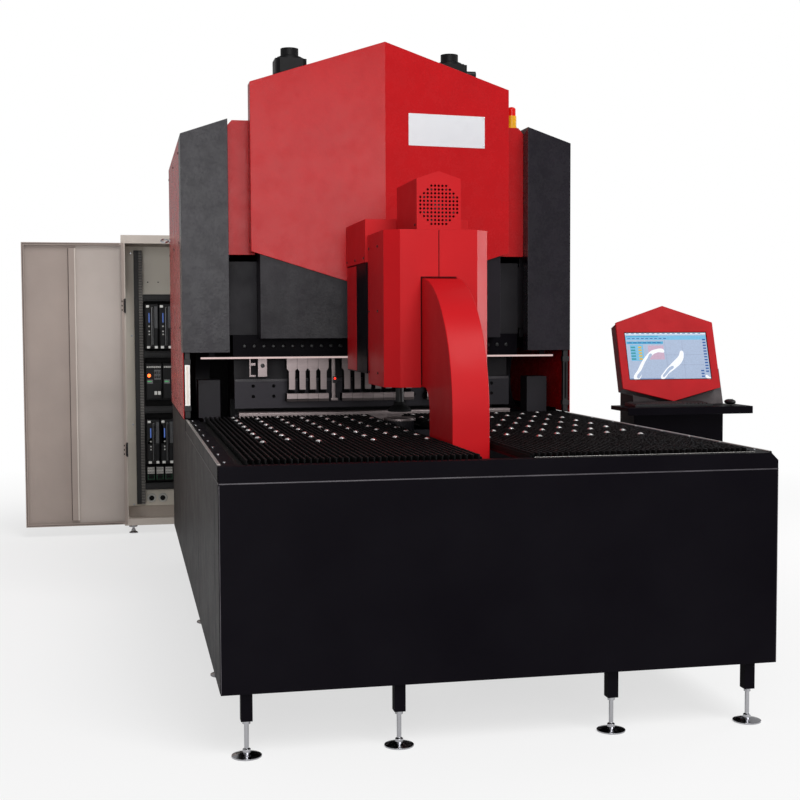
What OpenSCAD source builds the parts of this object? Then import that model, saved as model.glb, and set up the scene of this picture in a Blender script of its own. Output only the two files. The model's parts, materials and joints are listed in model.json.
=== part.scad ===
// Servo panel bender: brush and ball worktable, sheet manipulator, press with bending unit,
// switch cabinet and operator console. Millimetres, +Z up, +Y away from the operator.
// The origin lies on the floor below the middle of the bending line.

/* [Worktable] */
// Distance of the table sides and skirts outside the side frames
skirt_gap = 95; // [85:1:120]
// Length of the worktable
table_l = 2260; // [2200:10:2400]
// Gap from the bending line to the back edge of the table
table_back_gap = 190; // [170:5:220]
// Height of the rim above the floor
rim_z = 1000; // [980:1:1010]
// Height of the rim fascia
rim_h = 58; // [40:1:80]
// Width of the side rails
rail_w = 65; // [50:1:70]
// Depth of the flange on top of the front fascia
fascia_flange = 50; // [30:1:60]
// Bevel at the right end of the front fascia
fascia_bevel = 27; // [10:1:35]
// Bottom edge of the skirts above the floor
skirt_bottom_z = 227; // [200:1:260]
// Thickness of the cover sheets
sheet_t = 3; // [2:0.5:5]
// Half width of the slot for the manipulator
slot_half_w = 88; // [84:1:95]
// Pass line: die top, ball tops and clamp disc
pass_z = 1020; // [1015:1:1030]
// Thickness of the deck plates
deck_t = 8; // [6:1:10]
// Height of the ball tops above the deck
ball_stand = 34; // [32:1:36]
// Radius of a transfer ball
ball_r = 15; // [13:0.5:16]
// Outer radius of a ball cup
cup_r = 20; // [18:0.5:22]
// Spacing of the ball columns
ball_pitch_x = 110; // [100:1:112]
// Spacing of the balls in a column
ball_pitch_y = 200; // [180:5:205]
// Least distance of a ball column from the outer edge of the brush
ball_margin = 60; // [40:1:80]
// Balls in a full column
ball_rows = 8; // [6:1:8]
// First ball column from the centre line
ball_first_x = 125; // [120:1:130]
// Spacing of the brush ribs
brush_pitch = 22; // [18:1:30]
// Width of a brush rib
brush_w = 9; // [6:0.5:12]
// Height of the brush tips above the deck
brush_h = 28; // [20:1:30]
// Side of the square leg tubes
leg_w = 40; // [35:1:50]
// Distance of the outer legs from the table side
leg_inset = 89; // [80:1:100]
// Distance of the front legs behind the table front
leg_setback = 50; // [40:1:70]
// Distance of the inner legs from the centre line
leg_inner_x = 392; // [350:1:420]
// Lower end of the legs
leg_bottom_z = 125; // [110:1:140]
// Radius of a levelling disc
foot_r = 52; // [40:1:60]
// Radius of a levelling stud
stud_r = 8; // [6:0.5:10]

/* [Press frame] */
// Gap from the blade ends to the side frames
frame_gap = 93; // [85:1:110]
// Thickness of the side frames
frame_t = 80; // [60:1:90]
// Front edge of the side frames before the bending line
frame_front = 110; // [100:1:120]
// Back edge of the side frames behind the bending line
frame_back = 1350; // [1300:5:1400]
// Height of the side frames
frame_top_z = 2300; // [2280:5:2340]
// Top of the throat
throat_top_z = 1340; // [1336:1:1350]
// Bottom of the throat
throat_bottom_z = 995; // [985:1:1000]
// Depth of the throat behind the bending line
throat_back = 620; // [600:5:660]
// Thickness of the floor plate
base_t = 30; // [25:1:40]
// Radius of the anchor holes
anchor_r = 14; // [11:1:16]
// Distance by which the lower die ends short of the blades
die_inset = 15; // [0:1:45]
// Depth of the lower die
die_d = 58; // [50:1:62]
// Height of the lower die
die_h = 60; // [50:1:70]
// Distance of the ball screws from the centre line
screw_x = 433; // [420:1:450]
// Distance of the ball screws behind the bending line
screw_y = 150; // [145:1:160]
// Radius of a ball screw
screw_r = 25; // [20:1:28]
// Side of a ram motor
motor_w = 165; // [150:1:180]
// Height of a ram motor without its end cap
motor_h = 270; // [240:5:280]

/* [Covers] */
// Overhang of the column covers and side panels over the skirts
panel_step = 7; // [5:1:15]
// Distance by which the column covers reach inside the side frames
column_lap = 53; // [48:1:58]
// Front face of the columns before the bending line
column_front = 144; // [138:1:160]
// Lower edge of the column covers
column_low_z = 1334; // [1330:1:1339]
// Outer upper edge of the column covers
column_out_z = 2425; // [2410:1:2440]
// Inner upper edge of the column covers
column_in_z = 2505; // [2495:1:2507]
// Depth that the column covers wrap around the sides
column_wrap = 200; // [190:1:230]
// Back face of the machine behind the bending line
body_back = 1450; // [1430:5:1500]
// Distance from the column covers to the hood
hood_inset = 111; // [95:1:125]
// Front of the hood sides before the bending line
hood_side = 164; // [158:1:180]
// Front of the hood ridge before the bending line
hood_ridge = 250; // [235:1:255]
// Top corner of the hood
hood_corner_z = 2688; // [2660:1:2710]
// Peak of the hood
hood_peak_z = 2893; // [2850:1:2900]
// Lower corner of the hood
hood_low_z = 1843; // [1835:1:1860]
// Lower tip of the hood
hood_tip_z = 1630; // [1600:1:1660]
// Front of the upper housing before the bending line
housing_front = 60; // [50:1:70]
// Radius of the beacon
beacon_r = 26; // [20:1:26]
// Top of the upper housing
housing_top_z = 2510; // [2508:1:2530]

/* [Ram] */
// Gap from the ram beam ends to the side frames
ram_gap = 58; // [56:1:63]
// Bottom of the ram beam
ram_z = 1420; // [1415:1:1430]
// Height of the ram beam
ram_h = 380; // [350:5:400]
// Bottom of the tool holder
holder_z = 1306; // [1302:1:1310]
// Distance by which the tool holder ends short of the ram beam
holder_inset = 20; // [10:1:40]
// Distance by which the lower hood is narrower than the hood, on each side
lower_hood_inset = 44; // [40:1:75]
// Bottom edge of the lower hood
lower_hood_z = 1403; // [1395:1:1410]
// Height of the lower hood
lower_hood_h = 590; // [560:5:600]
// Width of a press tool
tool_w = 55; // [50:1:58]
// Width of a press tool shank
shank_w = 40; // [30:1:44]
// Bottom of the press tools at rest
tool_z = 1074; // [1065:1:1080]
// Press tools in the middle group
tools_mid = 7; // [5:1:8]
// Press tools in each side group
tools_side = 4; // [3:1:4]
// Gap between the tool groups
tool_group_gap = 70; // [60:1:80]

/* [Bending unit] */
// Half length of the bending blades
blade_half_l = 745; // [730:1:750]
// Gap from the die to the blades
blade_gap = 17; // [15:1:20]
// Thickness of a bending blade
blade_t = 40; // [35:1:45]
// Tip of the upper blade above the pass line
upper_tip = 16; // [12:1:20]
// Tip of the lower blade below the pass line
lower_tip = 16; // [12:1:20]
// Spacing of the blade bolts
blade_bolt_pitch = 108; // [100:1:115]

/* [Manipulator] */
// Half width of the arm
arm_half_w = 75; // [65:1:80]
// Front of the arm before the bending line
arm_front = 1914; // [1890:1:1930]
// Length of the arm foot
arm_foot_l = 390; // [370:1:400]
// Front of the head before the bending line
head_front = 1390; // [1370:1:1400]
// Half width of the head
head_half_w = 228; // [215:1:235]
// Chamfer on the front corners of the head
head_chamfer = 60; // [50:1:70]
// Length of the head
head_l = 420; // [400:1:440]
// Bottom of the head
head_z = 1204; // [1190:1:1215]
// Height of the head
head_h = 668; // [640:1:690]
// Top of the arm where it enters the head
arm_top_z = 1665; // [1640:1:1680]
// Height at which the front of the arm starts to curve
arm_knee_z = 1114; // [1090:1:1140]
// Half width of the fan cover
fan_half_w = 96; // [92:1:100]
// Height of the fan cover at its eaves
fan_h = 213; // [205:1:220]
// Height of the fan cover ridge above its eaves
fan_ridge = 32; // [20:1:40]
// Pitch of the perforation
hole_pitch = 16; // [15:0.5:16]
// Radius of a perforation hole
hole_r = 5; // [3:0.5:6]
// Length of the spindle housing
housing_l = 510; // [500:1:520]
// Height of the spindle housing
housing_h = 502; // [490:1:510]
// Height of the rear cover
rear_cover_h = 194; // [180:1:210]
// Distance of the clamp axis before the bending line
clamp_axis = 572; // [560:1:590]
// Radius of the clamp spindle
spindle_r = 20; // [16:1:24]
// Radius of the clamp pad
pad_r = 58; // [50:1:65]
// Opening between the clamp pad and the disc at rest
clamp_open = 30; // [26:1:36]
// Radius of the lower disc
disc_r = 78; // [70:1:80]

/* [Console] */
// Console centre from the machine centre line
console_x = 1607; // [1560:1:1700]
// Front of the console pedestal before the bending line
console_front = 90; // [80:1:110]
// Half width of the console pedestal
console_half_w = 262; // [250:1:275]
// Depth of the console pedestal
console_d = 200; // [190:1:240]
// Distance of the pedestal to the right of the screen centre
pedestal_shift = 60; // [40:1:70]
// Height of the keyboard tray
tray_z = 1030; // [1015:1:1040]
// Backward tilt of the screen
screen_tilt = 18; // [12:1:20]
// Half width of the bezel
bezel_half_w = 283; // [275:1:290]
// Height of the bezel along its slope
bezel_h = 545; // [530:1:560]
// Half width of the screen
screen_half_w = 240; // [220:1:244]
// Height of the screen along its slope
screen_h = 270; // [250:1:280]

/* [Cabinet] */
// Left side of the cabinet from the centre line
cabinet_left = 1315; // [1310:1:1330]
// Width of the cabinet
cabinet_w = 745; // [735:1:760]
// Depth of the cabinet
cabinet_d = 420; // [400:1:450]
// Front of the cabinet behind the bending line
cabinet_front = 2630; // [2600:5:2700]
// Bottom of the cabinet
cabinet_z = 60; // [55:1:70]
// Height of the cabinet
cabinet_h = 2047; // [2030:1:2060]
// Wall of the cabinet
cabinet_t = 4; // [3:0.5:5]
// Distance of the devices from the cabinet side
device_inset = 165; // [155:1:170]
// Distance of the upright wire duct from the cabinet side
duct_inset = 90; // [60:1:92]
// Height of the level wire ducts
duct_h = 50; // [40:1:55]
// Width of the upright wire duct
duct_w = 60; // [50:1:62]
// Width of the door
door_w = 690; // [685:1:695]
// Depth of the door
door_d = 24; // [22:1:24]
// Height of the door handle above the lower edge of the door
handle_h = 1000; // [900:10:1100]

/* [Hidden] */
$fn = 48;

red = "#c3161c";
charcoal = "#2b2c2f";
black = "#17181a";
steel = "#b9b6b4";
pebble = "#c9c6bd";

run_gap = 0.3;
over = 5;

frame_in_x = blade_half_l + frame_gap;
frame_out_x = frame_in_x + frame_t;
table_half_w = frame_out_x + skirt_gap;
column_out_x = table_half_w + panel_step;
column_in_x = frame_in_x - column_lap;
hood_half_w = column_in_x - hood_inset;
lower_hood_half_w = hood_half_w - lower_hood_inset;
ram_half_l = frame_in_x - ram_gap;
holder_half_l = ram_half_l - holder_inset;
die_half_l = blade_half_l - die_inset;

table_back_y = -table_back_gap;
table_front_y = table_back_y - table_l;
skirt_top_z = rim_z - rim_h;
skirt_in_x = table_half_w - sheet_t;
deck_z = pass_z - ball_stand;
frame_table_z = deck_z - deck_t;
leg_outer_x = table_half_w - leg_inset;
leg_rows = [table_front_y + leg_setback, (table_front_y + table_back_y) / 2, table_back_y - 110];
brush_x0 = slot_half_w + 7;
brush_x1 = table_half_w - rail_w - 8;
brush_y0 = table_front_y + fascia_flange + 5;
brush_y1 = table_back_y - 10;
brush_mat_t = 3;
ball_cols = floor((brush_x1 - ball_margin - ball_first_x) / ball_pitch_x) + 1;
ball_z = pass_z - ball_r;
cup_h = ball_stand - ball_r + 5;
ball_first_y = table_back_y - 110;

rail_beam_x = 110;
rail_beam_w = 60;
rail_beam_z = 550;
rail_beam_h = 80;
rail_bar_w = 25;
rail_bar_h = 22;
rail_top_z = rail_beam_z + rail_beam_h + rail_bar_h;

way_x = frame_in_x - 38;
way_y0 = screw_y - 90;
way_y1 = screw_y - 10;
crown_h = 150;
crown_y0 = screw_y - 190;
crown_y1 = screw_y + 110;
crown_z = frame_top_z - crown_h;
lantern_w = motor_w + 25;
motor_z = frame_top_z + 290;
panel_in_x = column_out_x - sheet_t;
column_back_y = column_wrap - column_front;
opening_half_w = lower_hood_half_w + 15;
beacon_x = hood_half_w + beacon_r + 28;

ram_front_y = 20;
ram_back_y = screw_y + 130;
holder_y0 = -30;
holder_y1 = 50;
tool_y0 = -30;
tool_toe_y = die_d;
tool_pitch = tool_w + 0.2;

blade_y = die_d + blade_gap;
blade_back_y = blade_y + blade_t;
beam_top_z = pass_z + 270;
beam_low_z = pass_z - 320;
web_y0 = blade_y + 325;
web_y1 = web_y0 + 120;
jaw_z = pass_z - 90;
lip_z = pass_z + 90;
lift_rail_x = blade_half_l - 245;
lift_rail_w = 40;
lift_rail_d = 20;
carriage_y0 = web_y1 + 40;
carriage_y1 = carriage_y0 + 80;
slide_x = blade_half_l - 95;
slide_w = 40;
slide_z = 450;
slide_h = 22;

head_back_y = head_l - head_front;
head_top_z = head_z + head_h;
foot_y0 = -arm_front;
foot_y1 = arm_foot_l - arm_front;
carriage_plate_z = rail_top_z + 38;
carriage_plate_t = 40;
arm_base_z = carriage_plate_z + carriage_plate_t;
arm_in_y = 90 - head_front;
housing_z = head_z + 46;
housing_back_y = head_back_y + housing_l;
housing_cap_z = housing_z + housing_h;
pad_z = pass_z + clamp_open;
pad_h = 48;
pad_socket = 20;
disc_t = 14;
pedestal_r = slot_half_w - 18;

hinge_x = 25 - cabinet_left;
hinge_y = cabinet_front - 13;
hinge_gap = 6;
door_z = cabinet_z + 13;
door_h = cabinet_h - 70;
door_x1 = hinge_x - hinge_gap;
door_x0 = door_x1 - door_w;
door_y0 = hinge_y - door_d / 2;
door_y1 = hinge_y + door_d / 2;
hinge_zs = [door_z + 528, door_z + 1540];
cabinet_x0 = -cabinet_left;
cabinet_x1 = cabinet_w - cabinet_left;
cabinet_top_z = cabinet_z + cabinet_h;
cabinet_back_y = cabinet_front + cabinet_d;
plate_y = cabinet_back_y - 50;

console_front_y = -console_front;
bezel_t = 14;
bezel_tip_y = console_front_y - 70;
bezel_tip_z = tray_z + 22;
shell_d = 75;

// Box between two corners
module block(x0, x1, y0, y1, z0, z1) {
    translate([x0, y0, z0]) cube([x1 - x0, y1 - y0, z1 - z0]);
}

// A piece and its mirror image on the other side
module both() {
    children();
    mirror([1, 0, 0]) children();
}

// Outline in Y and Z, extruded along X
module along_x(x0, x1) {
    translate([x0, 0, 0]) rotate([90, 0, 90]) linear_extrude(x1 - x0) children();
}

// Outline in X and Z, extruded along Y
module along_y(y0, y1) {
    translate([0, y1, 0]) rotate([90, 0, 0]) linear_extrude(y1 - y0) children();
}

// Upright cylinder between two heights
module post(x, y, r, z0, z1) {
    translate([x, y, z0]) cylinder(h = z1 - z0, r = r);
}

// Places of the ball transfers on one deck, every second column shifted by half a pitch
function ball_places(side) = [for (c = [0:ball_cols - 1]) for (i = [0:ball_rows - 1 - c % 2])
    [side * (ball_first_x + c * ball_pitch_x), ball_first_y - (i + (c % 2) / 2) * ball_pitch_y]];

module base_bed() color(charcoal) {
    beam_y0 = -40;
    anchor_x = frame_in_x - 50;
    difference() {
        block(-frame_out_x - 36, frame_out_x + 36, -frame_front - 10, frame_back + 50, 0, base_t);
        for (x = [-anchor_x, anchor_x], y = [150, frame_back - 200])
            post(x, y, anchor_r, -over, base_t + over);
    }
    block(-frame_in_x, frame_in_x, beam_y0, die_d, base_t, pass_z - die_h);
    block(-frame_in_x, frame_in_x, frame_back - 100, frame_back, base_t, 600);
    both() {
        block(slide_x - 50, slide_x + 50, carriage_y0 - 80, frame_back - 100, base_t, slide_z);
        block(slide_x - slide_w / 2, slide_x + slide_w / 2, carriage_y0 - 80, frame_back - 110, slide_z,
            slide_z + slide_h);
    }
}

// C plate with the throat, ram way, jaw post and the arms that carry the panels
module side_frame() color(charcoal) {
    throat_r = (throat_top_z - throat_bottom_z) / 2;
    difference() {
        along_x(frame_in_x, frame_out_x) polygon([[-frame_front, base_t], [frame_back, base_t],
            [frame_back, frame_top_z - 300], [frame_back - 300, frame_top_z], [-frame_front, frame_top_z]]);
        block(frame_in_x - over, frame_out_x + over, -frame_front - over, throat_back - throat_r,
            throat_bottom_z, throat_top_z);
        translate([frame_in_x - over, throat_back - throat_r, throat_bottom_z + throat_r])
            rotate([0, 90, 0]) cylinder(h = frame_t + 2 * over, r = throat_r);
    }
    block(way_x, frame_in_x, way_y0, way_y1, ram_z - 20, crown_z);
    block(frame_in_x - 13, frame_out_x + 19, 0, 120, throat_bottom_z, throat_bottom_z + 195);
    for (y = [200, frame_back - 150]) {
        for (z = [1500, 2100]) block(frame_out_x, panel_in_x, y, y + 60, z, z + 60);
        for (z = [400, 860]) block(frame_out_x, skirt_in_x, y, y + 60, z, z + 60);
    }
}

module side_frame_left() mirror([1, 0, 0]) side_frame();
module side_frame_right() side_frame();

module crown_beam() color(charcoal) {
    difference() {
        union() {
            block(-frame_in_x, frame_in_x, crown_y0, crown_y1, crown_z, frame_top_z);
            both() block(screw_x - lantern_w / 2, screw_x + lantern_w / 2, screw_y - lantern_w / 2,
                screw_y + lantern_w / 2, frame_top_z, motor_z);
        }
        both() {
            post(screw_x, screw_y, screw_r + run_gap, crown_z - over, frame_top_z + over);
            post(screw_x, screw_y, lantern_w / 2 - 15, frame_top_z, motor_z + over);
            block(screw_x - 45, screw_x + 45, screw_y - lantern_w / 2 - over, screw_y + lantern_w / 2 + over,
                frame_top_z + 60, motor_z - 60);
        }
    }
}

module lower_die() color(steel) {
    bar_h = 22;
    step = 8;
    nose = 6;
    along_x(-die_half_l, die_half_l) polygon([[step, pass_z - die_h], [die_d, pass_z - die_h],
        [die_d, pass_z], [nose, pass_z], [0, pass_z - nose], [0, pass_z - bar_h], [step, pass_z - bar_h]]);
}

// Servo motor with cooling ribs, end cap and two round connectors
module ram_motor() {
    cap_r = 47;
    rib = 6;
    half = motor_w / 2;
    difference() {
        block(-half, half, -half, half, 0, motor_h);
        for (a = [0:90:270], z = [45:18:motor_h - 70]) rotate(a)
            block(half - rib, half + over, -half + 25, half - 25, z, z + 9);
        for (a = [0:90:270]) rotate(a) post(half, half, 22, 16, motor_h + over);
    }
    post(0, 0, cap_r, motor_h, motor_h + 60);
    translate([0, 0, motor_h]) rotate_extrude() polygon([[0, 0], [66, 0], [66, 14], [cap_r, 22], [0, 22]]);
    for (z = [motor_h - 50, motor_h - 120]) translate([half - 10, -35, z]) rotate([0, 90, 0])
        cylinder(h = 62, r = 21);
}

module ram_motors() color(black) for (x = [-screw_x, screw_x]) translate([x, screw_y, motor_z]) ram_motor();

// Outline of a column in X and Z, drawn in by the given amount
function column_outline(t, low) = [[column_in_x + t, low], [column_out_x - t, low],
    [column_out_x - t, column_out_z - t], [column_in_x + t, column_in_z - t]];

module column_covers() color(charcoal) both() difference() {
    along_y(-column_front, column_back_y) polygon(column_outline(0, column_low_z));
    along_y(sheet_t - column_front, column_back_y + over)
        polygon(column_outline(sheet_t, column_low_z - over));
    block(column_in_x - over, column_in_x + sheet_t + 1, -housing_front, column_back_y + over,
        column_low_z - over, column_in_z - 30);
}

module side_panels() color(red) both() {
    along_x(panel_in_x, column_out_x) polygon([[-column_front, rim_z], [body_back, rim_z],
        [body_back, column_out_z], [column_back_y, column_out_z], [column_back_y, column_low_z],
        [-column_front, column_low_z]]);
    along_y(column_back_y, body_back) polygon([[column_out_x, column_out_z], [column_in_x, column_in_z],
        [column_in_x, column_out_z - 5], [column_in_x + sheet_t, column_out_z - 5],
        [column_in_x + sheet_t, column_in_z - 2 * sheet_t], [panel_in_x, column_out_z - sheet_t]]);
}

module side_skirts() color(black) both() along_x(skirt_in_x, table_half_w)
    polygon([[table_front_y + sheet_t, skirt_bottom_z], [body_back, skirt_bottom_z], [body_back, rim_z],
        [table_back_y, rim_z], [table_back_y, skirt_top_z], [table_front_y + sheet_t, skirt_top_z]]);

module rear_panel() color(charcoal) {
    louvre_w = 320;
    difference() {
        block(-skirt_in_x, skirt_in_x, body_back - sheet_t, body_back, skirt_bottom_z, column_out_z - 5);
        both() for (z = [1500:40:1900]) block(300, 300 + louvre_w, body_back - sheet_t - over,
            body_back + over, z, z + 14);
    }
}

module upper_housing() color(red) {
    corner_x = 28;
    corner_z = 32;
    low_z = hood_low_z - 13;
    hole = lantern_w / 2 + 6;
    difference() {
        along_y(-housing_front, body_back) polygon([[-column_in_x, low_z], [column_in_x, low_z],
            [column_in_x, housing_top_z - corner_z], [column_in_x - corner_x, housing_top_z],
            [corner_x - column_in_x, housing_top_z], [-column_in_x, housing_top_z - corner_z]]);
        along_y(sheet_t - housing_front, body_back - sheet_t) polygon([[sheet_t - column_in_x, low_z - over],
            [column_in_x - sheet_t, low_z - over], [column_in_x - sheet_t, housing_top_z - corner_z - 1],
            [column_in_x - corner_x - 1, housing_top_z - sheet_t],
            [corner_x + 1 - column_in_x, housing_top_z - sheet_t],
            [sheet_t - column_in_x, housing_top_z - corner_z - 1]]);
        block(-opening_half_w, opening_half_w, -housing_front - over, sheet_t + 1 - housing_front,
            low_z - over, housing_top_z - 70);
        block(-column_in_x - over, column_in_x + over, sheet_t - housing_front, body_back + over,
            low_z - over, column_out_z - 5);
        both() block(screw_x - hole, screw_x + hole, screw_y - hole, screw_y + hole,
            housing_top_z - sheet_t - over, housing_top_z + over);
    }
}

// Wedge-shaped plan of a hood: ridge in the middle, straight sides running back
module hood_plan(half_w, side_y, ridge_y, back_y) {
    polygon([[-half_w, back_y], [-half_w, side_y], [0, ridge_y], [half_w, side_y], [half_w, back_y]]);
}

module hood_front() color(red) difference() {
    intersection() {
        translate([0, 0, hood_tip_z]) linear_extrude(hood_peak_z - hood_tip_z)
            hood_plan(hood_half_w, -hood_side, -hood_ridge, -housing_front);
        along_y(-hood_ridge - over, over) polygon([[-hood_half_w, hood_low_z], [0, hood_tip_z],
            [hood_half_w, hood_low_z], [hood_half_w, hood_corner_z], [0, hood_peak_z],
            [-hood_half_w, hood_corner_z]]);
    }
    intersection() {
        translate([0, 0, hood_tip_z - over]) linear_extrude(hood_peak_z - hood_tip_z)
            hood_plan(hood_half_w - sheet_t, sheet_t - hood_side, sheet_t - hood_ridge, over);
        along_y(-hood_ridge - over, over) polygon([[-hood_half_w, hood_tip_z - 2 * over],
            [hood_half_w, hood_tip_z - 2 * over], [hood_half_w, hood_corner_z - sheet_t],
            [0, hood_peak_z - sheet_t], [-hood_half_w, hood_corner_z - sheet_t]]);
    }
}

// Lamp profile across the front of the side frames
module light_bar() color("#e8e8e6") {
    bar_z = 1301;
    block(-frame_out_x - 12, frame_out_x + 12, -frame_front - 18, -frame_front, bar_z, bar_z + 9);
    both() block(frame_in_x + 20, frame_in_x + 50, -frame_front - 8, -frame_front, bar_z + 8,
        throat_top_z + 50);
}

// Light curtain posts with two clamps each on the side panels
module light_curtains() color("#d8d8d6") both() {
    y0 = 9 - column_front;
    block(panel_in_x - 32, panel_in_x - 6, y0, y0 + 28, rim_z + 4, column_low_z - 2);
    for (z = [rim_z + 40, column_low_z - 60]) block(panel_in_x - 36, panel_in_x, y0 - 4, y0 + 32, z, z + 26);
}

module beacon_base() color("#e6b800") translate([beacon_x, -30, housing_top_z]) {
    cylinder(h = 8, r = beacon_r + 2);
    translate([0, 0, 8]) cylinder(h = 57, r = beacon_r);
}

module beacon_lens() color("#d01010") translate([beacon_x, -30, housing_top_z + 65]) rotate_extrude()
    polygon(concat([[0, 0], [beacon_r - 4, 0], [beacon_r - 4, 36]],
        [for (a = [15:15:90]) [(beacon_r - 4) * cos(a), 36 + 13 * sin(a)]]));

module table_frames() color(black) both() {
    brace_z = skirt_top_z - 100;
    half = leg_w / 2;
    difference() {
        union() {
            for (x = [leg_inner_x, leg_outer_x]) {
                for (y = leg_rows) block(x - half, x + half, y - half, y + half, leg_bottom_z, frame_table_z);
                block(x - half, x + half, leg_rows[0] - half, leg_rows[2] + half, frame_table_z - leg_w,
                    frame_table_z);
                block(x - half, x + half, table_front_y + sheet_t, leg_rows[0], brace_z, brace_z + 40);
            }
            for (y = leg_rows) {
                block(slot_half_w + 12, leg_outer_x + half, y - half, y + half, frame_table_z - leg_w,
                    frame_table_z);
                block(leg_outer_x, skirt_in_x, y - half, y + half, brace_z, brace_z + 40);
            }
        }
        for (x = [leg_inner_x, leg_outer_x], y = leg_rows)
            post(x, y, stud_r + run_gap, leg_bottom_z - over, leg_bottom_z + 60);
    }
}

// Deck plate with pressed cups for the balls
module deck(side) color(black) {
    x0 = slot_half_w;
    x1 = table_half_w - rail_w - 3;
    mirror([side < 0 ? 1 : 0, 0, 0]) difference() {
        union() {
            block(x0, x1, table_front_y + 10, table_back_y, frame_table_z, deck_z);
            for (p = ball_places(1)) post(p[0], p[1], cup_r, deck_z - 1, deck_z + cup_h);
        }
        for (p = ball_places(1)) translate([p[0], p[1], ball_z]) sphere(r = ball_r + run_gap);
    }
}

module deck_left() deck(-1);
module deck_right() deck(1);

// Brush mat: ribs along Y with round clearings for the ball cups
module brush(side) color("#101113") {
    ribs = floor((brush_x1 - brush_x0) / brush_pitch);
    mirror([side < 0 ? 1 : 0, 0, 0]) difference() {
        union() {
            block(brush_x0, brush_x1, brush_y0, brush_y1, deck_z, deck_z + brush_mat_t);
            for (i = [0:ribs - 1]) block(brush_x0 + i * brush_pitch, brush_x0 + i * brush_pitch + brush_w,
                brush_y0, brush_y1, deck_z, deck_z + brush_h);
        }
        for (p = ball_places(1)) post(p[0], p[1], cup_r + 2, deck_z - over, deck_z + brush_h + over);
    }
}

module brush_left() brush(-1);
module brush_right() brush(1);

module balls(side) color(steel)
    for (p = ball_places(side)) translate([p[0], p[1], ball_z]) sphere(r = ball_r);

module balls_left() balls(-1);
module balls_right() balls(1);

module front_fascia() color(black) difference() {
    along_x(-table_half_w, table_half_w) polygon([[table_front_y, skirt_top_z], [table_front_y, rim_z],
        [table_front_y + fascia_flange, rim_z], [table_front_y + fascia_flange, rim_z - sheet_t],
        [table_front_y + sheet_t, rim_z - sheet_t], [table_front_y + sheet_t, skirt_top_z]]);
    along_y(table_front_y - over, table_front_y + fascia_flange + over)
        polygon([[table_half_w - fascia_bevel, rim_z], [table_half_w, rim_z - fascia_bevel],
            [table_half_w + over, rim_z - fascia_bevel], [table_half_w + over, rim_z + over],
            [table_half_w - fascia_bevel, rim_z + over]]);
}

module front_skirt() color(black)
    block(-table_half_w, table_half_w, table_front_y, table_front_y + sheet_t, skirt_bottom_z, skirt_top_z);

module side_rails() color(black) both() along_y(table_front_y + fascia_flange, table_back_y)
    polygon([[table_half_w - rail_w, rim_z], [table_half_w, rim_z], [table_half_w, skirt_top_z],
        [skirt_in_x, skirt_top_z], [skirt_in_x, rim_z - sheet_t], [table_half_w - rail_w, rim_z - sheet_t]]);

// Levelling foot: dished disc, ball neck, stud and lock nut below a leg or cabinet corner
module levelling_foot(disc_r, top_z, bury) {
    rotate_extrude() polygon([[0, 0], [disc_r, 0], [disc_r, 5], [disc_r * 0.7, 10], [stud_r + 6, 16],
        [stud_r + 6, 26], [stud_r, 30], [stud_r, top_z + bury], [0, top_z + bury]]);
    translate([0, 0, top_z - 12]) cylinder(h = 12, r = stud_r + 6, $fn = 6);
}

module levelling_feet() color("silver") {
    for (x = [-leg_outer_x, -leg_inner_x, leg_inner_x, leg_outer_x], y = leg_rows) translate([x, y, 0])
        levelling_foot(foot_r, leg_bottom_z, 50);
    for (x = [cabinet_x0 + 60, cabinet_x1 - 60], y = [cabinet_front + 60, cabinet_back_y - 60])
        translate([x, y, 0]) levelling_foot(foot_r * 0.6, cabinet_z, 0);
}

module travel_rails() color("#7d8084") {
    half = leg_w / 2;
    both() {
        block(rail_beam_x - rail_beam_w / 2, rail_beam_x + rail_beam_w / 2, leg_rows[0] - half,
            leg_rows[2] + half, rail_beam_z, rail_beam_z + rail_beam_h);
        block(rail_beam_x - rail_bar_w / 2, rail_beam_x + rail_bar_w / 2, leg_rows[0], leg_rows[2] + half,
            rail_beam_z + rail_beam_h, rail_top_z);
    }
    for (y = leg_rows) block(half - leg_inner_x, leg_inner_x - half, y - half, y + half, rail_beam_z - leg_w,
        rail_beam_z);
}

module ram_beam() color(charcoal) {
    shoe_z0 = ram_z + 30;
    shoe_z1 = ram_z + ram_h - 20;
    nut_h = 40;
    difference() {
        union() {
            block(-ram_half_l, ram_half_l, ram_front_y, ram_back_y, ram_z, ram_z + ram_h);
            both() {
                post(screw_x, screw_y, screw_r + 30, ram_z + ram_h - 1, ram_z + ram_h + nut_h);
                block(ram_half_l - 1, frame_in_x - 3, way_y0 - 20, way_y0 - run_gap, shoe_z0, shoe_z1);
                block(ram_half_l - 1, frame_in_x - 3, way_y1 + run_gap, way_y1 + 20, shoe_z0, shoe_z1);
            }
        }
        both() post(screw_x, screw_y, screw_r + run_gap, ram_z + 20, ram_z + ram_h + nut_h + over);
    }
}

module ram_cover() color(charcoal) {
    inset = 12;
    side_y = inset - hood_side + (hood_ridge - hood_side) * (lower_hood_half_w / hood_half_w - 1);
    ridge_y = inset - hood_ridge;
    difference() {
        translate([0, 0, lower_hood_z]) linear_extrude(lower_hood_h)
            hood_plan(lower_hood_half_w, side_y, ridge_y, ram_front_y);
        translate([0, 0, lower_hood_z + sheet_t]) linear_extrude(lower_hood_h)
            hood_plan(lower_hood_half_w - sheet_t, side_y + sheet_t, ridge_y + sheet_t, ram_front_y + over);
        block(-column_in_x, column_in_x, holder_y0 - 2, ram_front_y + over, lower_hood_z - over, ram_z + 2);
    }
}

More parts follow.
